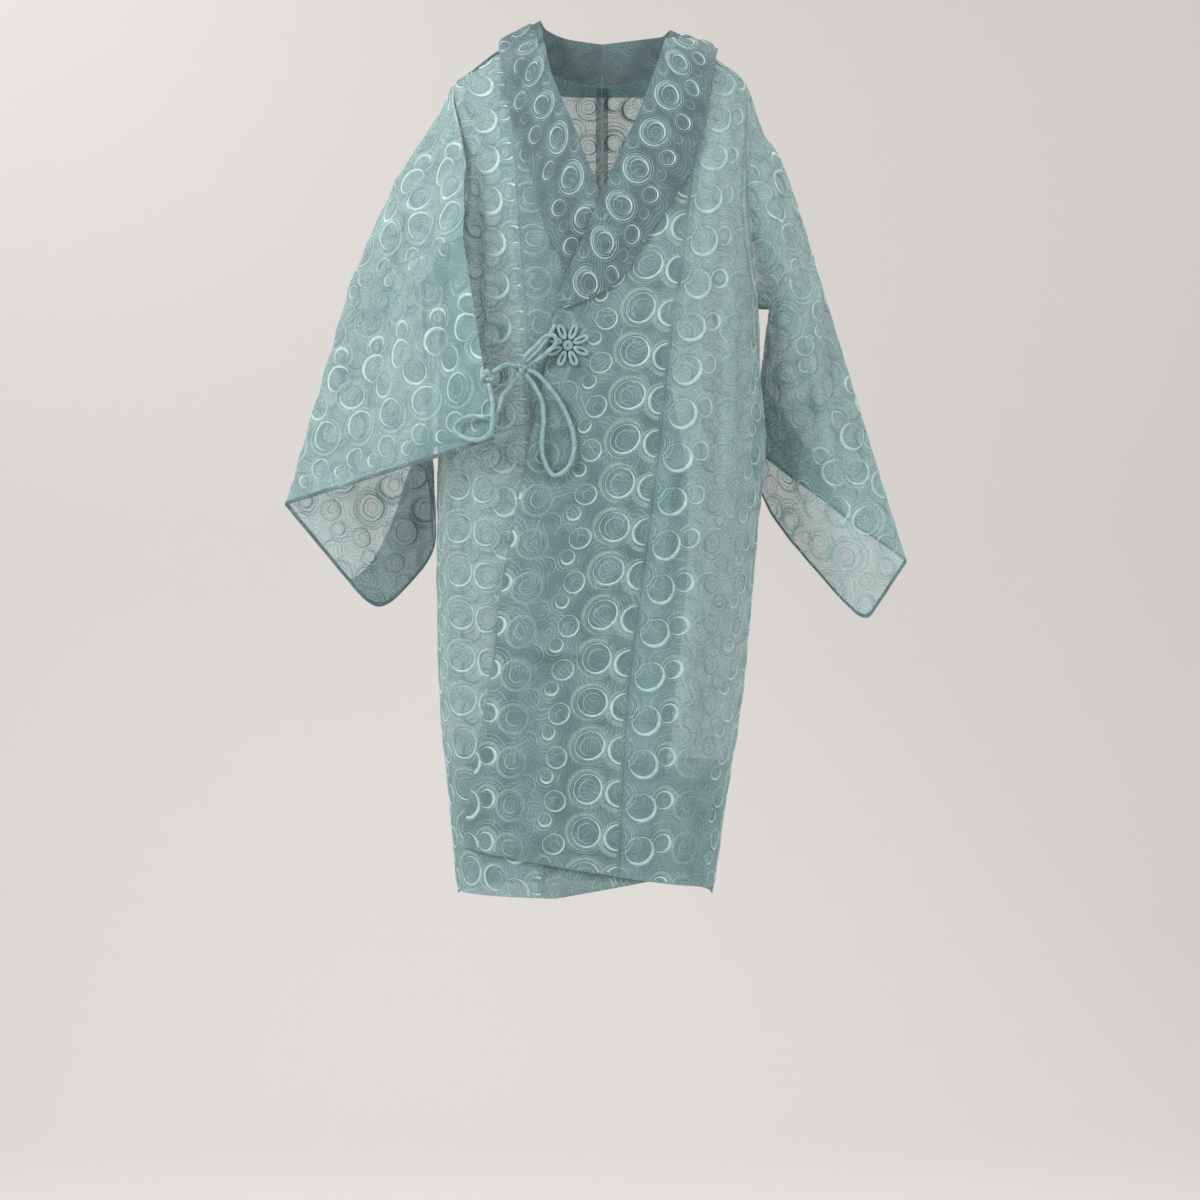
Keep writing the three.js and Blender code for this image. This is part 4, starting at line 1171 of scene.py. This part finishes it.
class Stitching:
    """Gathers ribbons of thread on one panel into one joined mesh."""

    def __init__(self, panel):
        self.panel, self.points, self.faces, self.kinds = panel, [], [], []
        self.count = 0

    def ribbons(self, path, half, height, kind, closed, base=THREAD_BASE):
        """Ribbons along path (n, k, 2) in cloth coordinates, half (n, k) wide to each side of it."""
        if closed:
            ahead = np.roll(path, -1, axis=1) - np.roll(path, 1, axis=1)
        else:
            ahead = np.gradient(path, axis=1)
        ahead = unit(ahead)
        aside = np.stack([-ahead[..., 1], ahead[..., 0]], axis=-1) * half[..., None]
        lines = np.stack([path + aside, path, path - aside], axis=2)
        lift = np.broadcast_to(np.array([base, base + height, base]), lines.shape[:3])
        where, inside = self.panel.place(lines[..., 0], lines[..., 1], lift)
        inside = inside.all(axis=2)
        number, length = inside.shape
        ids = self.count + np.arange(number * length * 3).reshape(number, length, 3)
        follows = np.roll(ids, -1, axis=1)
        joined = inside & np.roll(inside, -1, axis=1)
        if not closed:
            joined[:, -1] = False
        here, there = ids[joined], follows[joined]
        for a, b in ((0, 1), (1, 2), (2, 0)):
            self.faces += np.stack([here[:, a], there[:, a], there[:, b], here[:, b]], axis=1).tolist()
        before = np.roll(joined, 1, axis=1)
        starts, ends = ids[joined & ~before], ids[~joined & before]
        self.faces += starts.tolist() + ends[:, ::-1].tolist()
        self.kinds += [kind] * (3 * len(here) + len(starts) + len(ends))
        self.points.append(where.reshape(-1, 3))
        self.count += number * length * 3

    def finish(self, name, materials):
        """The joined mesh, without the points that no face uses."""
        if not self.faces:
            return None
        points = np.vstack(self.points)
        used = np.zeros(len(points), dtype=bool)
        for face in self.faces:
            used[list(face)] = True
        renumber = np.cumsum(used) - 1
        faces = [tuple(int(renumber[i]) for i in face) for face in self.faces]
        return add_piece(name, points[used], faces, materials, face_material=self.kinds, crease=60)


def repeats(panel, repeat, s, t, reach):
    """Every place of a chart's point on a panel."""
    low_s, high_s = panel.s.min() - reach, panel.s.max() + reach
    low_t, high_t = panel.t.min() - reach, panel.t.max() + reach
    across = np.arange(math.ceil((low_s - s) / repeat["s"]), math.floor((high_s - s) / repeat["s"]) + 1)
    along = np.arange(math.ceil((low_t - t) / repeat["t"]), math.floor((high_t - t) / repeat["t"]) + 1)
    places = [(s + repeat["s"] * a, t + repeat["t"] * b) for a in across for b in along]
    return np.array(places).reshape(-1, 2)


def swelling(angle, thick, power):
    """From 0 to 1 round a ring, with 1 at thick degrees."""
    return ((1 + np.cos(angle - math.radians(thick))) / 2) ** power


def add_ring(stitching, centres, ring):
    count = RING_POINTS["small" if ring["radius"] < RING_POINTS["large_from"] else "large"]
    angle = np.linspace(0, 2 * math.pi, count, endpoint=False)
    unevenness = 2 * angle[None] + centres[:, :1] * WOBBLE["by_s"] + centres[:, 1:] * WOBBLE["by_t"]
    radius = ring["radius"] * (1 + WOBBLE["share"] * np.sin(unevenness))
    arm = np.stack([np.cos(angle), np.sin(angle)], axis=-1)[None]
    path = centres[:, None] + arm * radius[..., None]
    swell = swelling(angle, ring["thick"], RING_SWELL)
    width = ring["narrowest"] + (ring["widest"] - ring["narrowest"]) * swell
    half = np.broadcast_to(width / 2, path.shape[:2])
    stitching.ribbons(path, half, THREAD_HEIGHTS[ring["thread"]], ring["thread"], True)


def add_halo(stitching, centres, halo):
    """Single stitches that stand out like rays round a place, longest where the halo is thick."""
    angle = np.linspace(0, 2 * math.pi, halo["stitches"], endpoint=False)
    length = HALO["shortest"] + (1 - HALO["shortest"]) * swelling(angle, halo["thick"], HALO["swell"])
    uneven = HALO["uneven"] * np.sin(HALO["beat"] * np.arange(halo["stitches"]))
    outer = halo["inner"] + (halo["outer"] - halo["inner"]) * length + uneven
    arm = np.stack([np.cos(angle), np.sin(angle)], axis=-1)
    ends = np.stack([arm * halo["inner"], arm * outer[:, None]], axis=1)
    path = (centres[:, None, None] + ends[None]).reshape(-1, 2, 2)
    stitching.ribbons(path, np.full(path.shape[:2], HALO["half_width"]), THREAD_HEIGHTS[SOFT], SOFT, False)


def embroider(panel, repeat, rings, halos):
    stitching = Stitching(panel)
    kinds = ((rings, RING_COLUMNS, "radius", add_ring), (halos, HALO_COLUMNS, "outer", add_halo))
    for rows, columns, reach, add in kinds:
        for row in rows:
            motif = dict(zip(columns, row))
            centres = repeats(panel, repeat, motif["s"], motif["t"], motif[reach])
            if len(centres):
                add(stitching, centres, motif)
    return stitching.finish(f"rings_{panel.name}", ["thread_bright", "thread_soft", "thread_haze"])


# ---- Sewing ----

TURN_UP = {"top_z": -789, "lift": 0.9, "thickness": 0.4}  # the deep hem, inside the cloth
CUFF_ROLL = {"height": 5.0, "thickness": 1.4, "sides": 10, "inset": 0.35}
CUFF_STITCH = {"gap": 6, "length": 2.6, "half_width": 0.3, "height": 0.3, "below_top": 1, "sunk": 0.1}
FACING = {"depth": 105, "top_columns": 3, "cuff_columns": 30, "lift": 0.95}  # inside a cuff
SEAM_ALLOWANCE = {"width": 7, "columns": 4, "lift": 0.75}
TURNED_THICKNESS = 0.35


def between_columns(panel, rows, columns):
    """Points, normals and cloth coordinates of a panel on rows, at places between its columns."""
    j = np.clip(np.floor(columns).astype(int), 0, panel.s.shape[1] - 2)
    w = (columns - j)[..., None]
    i = rows[:, None]
    cloth = np.stack([panel.s, panel.t], axis=-1)
    return (grid[i, j] * (1 - w) + grid[i, j + 1] * w for grid in (panel.points, panel.normals, cloth))


def turned_piece(panel, name, rows, columns, lift):
    points, normals, cloth = between_columns(panel, rows, columns)
    normals = unit(normals)
    return shell_piece(
        name, "turned", points - normals * lift, normals, TURNED_THICKNESS, cloth.reshape(-1, 2)
    )


def edge_strip(panel, name, last):
    """A turned seam allowance along a panel's first or last column, just inside the cloth."""
    run = run_of(panel.points, 1)
    offsets = np.linspace(0, SEAM_ALLOWANCE["width"], SEAM_ALLOWANCE["columns"])
    ways = run[:, -1:] - offsets[::-1] if last else np.repeat(offsets[None], len(run), axis=0)
    places = np.arange(run.shape[1])
    columns = np.array([np.interp(way, along, places) for way, along in zip(ways, run)])
    return turned_piece(panel, name, np.arange(len(run)), columns, SEAM_ALLOWANCE["lift"])


def facing(panel):
    """The doubled stretch inside the underside of a cuff, from the seam to a line that slants to the edge."""
    first = int(len(panel.s) * (1 - FACING["depth"] / SLEEVE_DEPTH))
    rows = np.arange(first, len(panel.s))
    reach = np.linspace(FACING["top_columns"], FACING["cuff_columns"], len(rows))
    columns = reach[:, None] * np.linspace(0, 1, 2 * FACING["cuff_columns"])[None]
    if panel.name.endswith("left"):
        columns = (panel.s.shape[1] - 1 - columns)[:, ::-1]
    return turned_piece(panel, f"facing_{panel.name}", rows, columns, FACING["lift"])


def cuff_roll(panel):
    """The narrow rolled hem of a cuff, a flat roll over the edge."""
    edge, above = panel.points[-1], panel.points[-3]
    normal = panel.normals[-1]
    up = unit(above - edge)
    angle = np.linspace(0, 2 * math.pi, CUFF_ROLL["sides"], endpoint=False)
    rise = (1 + np.cos(angle)) / 2 * CUFF_ROLL["height"]
    out = np.sin(angle) * CUFF_ROLL["thickness"] / 2 - CUFF_ROLL["inset"]
    points = edge[:, None] + up[:, None] * rise[None, :, None] + normal[:, None] * out[None, :, None]
    count, sides = points.shape[:2]
    t = np.repeat(panel.t[-1][:, None], sides, axis=1)
    s = np.repeat((panel.s[-1].mean() + rise)[None], count, axis=0)
    uv = np.stack([s, t], axis=-1).reshape(-1, 2)
    return add_piece(f"roll_{panel.name}", points.reshape(-1, 3), ring_faces(count, sides), ["collar"], uv)


def cuff_stitches(panel):
    """A row of running stitches near the top of the rolled hem."""
    stitching = Stitching(panel)
    s = panel.s[-1].mean() + CUFF_ROLL["height"] - CUFF_STITCH["below_top"]
    t = np.arange(panel.t.min(), panel.t.max(), CUFF_STITCH["gap"])
    path = np.stack([np.full((len(t), 2), s), np.stack([t, t + CUFF_STITCH["length"]], axis=1)], axis=-1)
    half = np.full((len(t), 2), CUFF_STITCH["half_width"])
    base = CUFF_ROLL["thickness"] / 2 - CUFF_STITCH["sunk"]
    stitching.ribbons(path, half, CUFF_STITCH["height"], 0, False, base)
    return stitching.finish(f"stitches_{panel.name}", ["stitch"])


# ---- Assembly ----

ORGANZA_THICKNESS = 0.5
DOUBLED_THICKNESS = 1.3
SEAMED = ("back", "front", "shoulder", "sleeve")  # pieces with an allowance turned in along both side edges


def dress(panel):
    name = panel.name
    collar, doubled = name.startswith("collar"), name.startswith(("band", "collar"))
    material = "collar" if collar else "organza_doubled" if doubled else "organza"
    piece = panel.shell(f"{name}_cloth", material, 0, DOUBLED_THICKNESS if doubled else ORGANZA_THICKNESS)
    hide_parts(name)
    chart = (COLLAR_REPEAT, COLLAR_RINGS, COLLAR_HALOS) if collar else (REPEAT, CHART_RINGS, CHART_HALOS)
    extras = [embroider(panel, *chart)]
    if name.startswith(SEAMED):
        extras += [edge_strip(panel, f"seam_a_{name}", False), edge_strip(panel, f"seam_b_{name}", True)]
    if name.startswith(("back", "front")):
        low = np.flatnonzero(panel.points[:, 0, 2] < TURN_UP["top_z"])
        rows = slice(low[0], low[-1] + 1)
        extras.append(panel.shell(f"turn_up_{name}", "turned", TURN_UP["lift"], TURN_UP["thickness"], rows))
    if name.startswith("sleeve"):
        extras += [cuff_roll(panel), cuff_stitches(panel), facing(panel)]


for panel in [*body_panels(), *sleeve_panels(), *map(collar_panel, SIDES)]:
    dress(panel)

# ---- Flower knot ----

FLOWER = {
    "x": -36, "z": -344, "petals": 8, "reach": 24, "petal_width": 10,
    "cord": 1.9, "button": 5.5, "clear": 0.5,
}
PETAL = {"points": 7, "root_width": 0.55, "step": 1.0, "sides": 10, "turn_length": 10}
# The button is a fine cord wound in a spiral over a low dome.
BUTTON = {"flatness": 0.6, "dome": 0.6, "inset": 0.9, "hole": 0.2, "raised": 0.4}
SPIRAL = {"points": 170, "turns": 4.2, "cord": 0.95, "sides": 8, "turn_length": 4}


def on_front(x, z, lift):
    x, z = np.asarray(x, dtype=float), np.asarray(z, dtype=float)
    return body_point(turn_at_x(x, z), z, lift + np.zeros_like(x))


def add_petal(name, angle):
    turn = np.arange(PETAL["points"]) * 2 * math.pi / PETAL["points"]
    root_at = FLOWER["button"] + FLOWER["cord"] + SEAM
    tip_at = FLOWER["reach"] - FLOWER["cord"]
    out = root_at + (tip_at - root_at) * (1 - np.cos(turn)) / 2
    wide = PETAL["root_width"] + (1 - PETAL["root_width"]) * out / FLOWER["reach"]
    half = (FLOWER["petal_width"] / 2 - FLOWER["cord"]) * wide
    x = FLOWER["x"] + out * math.cos(angle) - np.sin(turn) * half * math.sin(angle)
    z = FLOWER["z"] + out * math.sin(angle) + np.sin(turn) * half * math.cos(angle)
    path = smooth_path(on_front(x, z, FLOWER["cord"] + FLOWER["clear"]), PETAL["step"], closed=True)
    loop = tube(path, FLOWER["cord"], PETAL["sides"], closed=True, turn_length=PETAL["turn_length"])
    add_wound(f"{name}_loop", name, *loop)


def add_button():
    centre = on_front(FLOWER["x"], FLOWER["z"], FLOWER["clear"] + BUTTON["dome"])
    run = np.linspace(0, 1, SPIRAL["points"])
    wind = run * SPIRAL["turns"] * 2 * math.pi
    reach = (FLOWER["button"] - BUTTON["inset"]) * np.sqrt(run) + BUTTON["hole"]
    dome = np.sqrt(np.maximum(1 - (reach / (FLOWER["button"] + BUTTON["dome"])) ** 2, 0))
    rise = BUTTON["flatness"] * FLOWER["button"] * dome
    spiral = np.stack([reach * np.cos(wind), -rise - BUTTON["raised"], reach * np.sin(wind)], axis=1)
    wound = tube(centre + spiral, SPIRAL["cord"], SPIRAL["sides"], turn_length=SPIRAL["turn_length"])
    add_wound("flower_button_wound", "flower_button", *wound)


for k in range(FLOWER["petals"]):
    add_petal(f"flower_petal_{k + 1}", (k + 0.5) * 2 * math.pi / FLOWER["petals"])
add_button()

# ---- Studio ----

SHEER_LAYERS = 32  # sheer faces that a ray may pass: up to five layers of cloth, with seams and turnings

FLOOR_Z = -1900
# The wall stands far enough back that the coat can be seen from behind as well.
STAGE = {"back": 4200, "front": -12000, "half_width": 12000, "top": 6000, "bend": 1500, "bend_steps": 12}
BACKDROP_ROUGHNESS = 0.9
DAYLIGHT = {"colour": (1.0, 0.985, 0.965, 1), "strength": 0.55}
GLOW = 0.07  # the backdrop's own light, which keeps it pale so far from the lamps


def add_backdrop():
    """A pale floor that bends up into the wall behind."""
    profile = [(STAGE["front"], FLOOR_Z)]
    for k in range(STAGE["bend_steps"] + 1):
        turn = math.pi / 2 * k / STAGE["bend_steps"]
        y = STAGE["back"] - STAGE["bend"] * (1 - math.sin(turn))
        profile.append((y, FLOOR_Z + STAGE["bend"] * (1 - math.cos(turn))))
    profile.append((STAGE["back"], STAGE["top"]))
    width = STAGE["half_width"]
    points = [(x * MM, y * MM, z * MM) for y, z in profile for x in (-width, width)]
    faces = [(2 * k, 2 * k + 1, 2 * k + 3, 2 * k + 2) for k in range(len(profile) - 1)]
    mesh = bpy.data.meshes.new("backdrop")
    mesh.from_pydata(points, [], faces)
    mesh.polygons.foreach_set("use_smooth", np.ones(len(faces), dtype=bool))
    material, _, shader = new_material("backdrop", BACKDROP_ROUGHNESS, 0.0)
    for colour in ("Base Color", "Emission Color"):
        shader.inputs[colour].default_value = (*BACKDROP, 1)
    shader.inputs["Emission Strength"].default_value = GLOW
    mesh.materials.append(material)
    add_object("backdrop", mesh)


COAT_MIDDLE = (0.0, 0.0, CAMERA["z"] * MM)
LIGHTS = [
    # name, place and aim in metres, size in metres, watts
    ("key", (-2.1, -1.9, 1.1), COAT_MIDDLE, 1.4, 64),
    ("fill", (2.0, -2.2, 0.0), COAT_MIDDLE, 2.2, 30),
    ("top", (-0.5, -0.2, 1.9), COAT_MIDDLE, 2.0, 18),
    ("back", (0.2, 1.2, 1.6), COAT_MIDDLE, 1.6, 10),
    ("rear_left", (-2.2, 1.0, 0.2), COAT_MIDDLE, 1.8, 16),
    ("rear_right", (2.2, 1.6, 0.4), COAT_MIDDLE, 1.8, 22),
    ("wall_wash", (-2.4, 1.9, 2.2), (-1.2, 4.2, 0.2), 2.0, 42),
    ("wall_fill", (2.6, 2.0, 1.6), (1.4, 4.2, -0.6), 2.0, 9),
]


def add_lights():
    for name, place, aim, size, watts in LIGHTS:
        data = bpy.data.lights.new(name, "AREA")
        data.size = size
        data.energy = watts
        light = add_object(name, data)
        light.location = place
        target = np.array(aim) - np.array(place)
        flat = math.hypot(target[0], target[1])
        turn = math.atan2(target[1], target[0]) - math.pi / 2
        light.rotation_euler = (math.atan2(flat, -target[2]), 0, turn)
    world = bpy.data.worlds.new("studio")
    world.use_nodes = True
    background = world.node_tree.nodes["Background"]
    background.inputs["Color"].default_value = DAYLIGHT["colour"]
    background.inputs["Strength"].default_value = DAYLIGHT["strength"]
    bpy.context.scene.world = world


add_backdrop()
add_lights()
bpy.context.scene.view_settings.view_transform = "Standard"
bpy.context.scene.cycles.transparent_max_bounces = SHEER_LAYERS
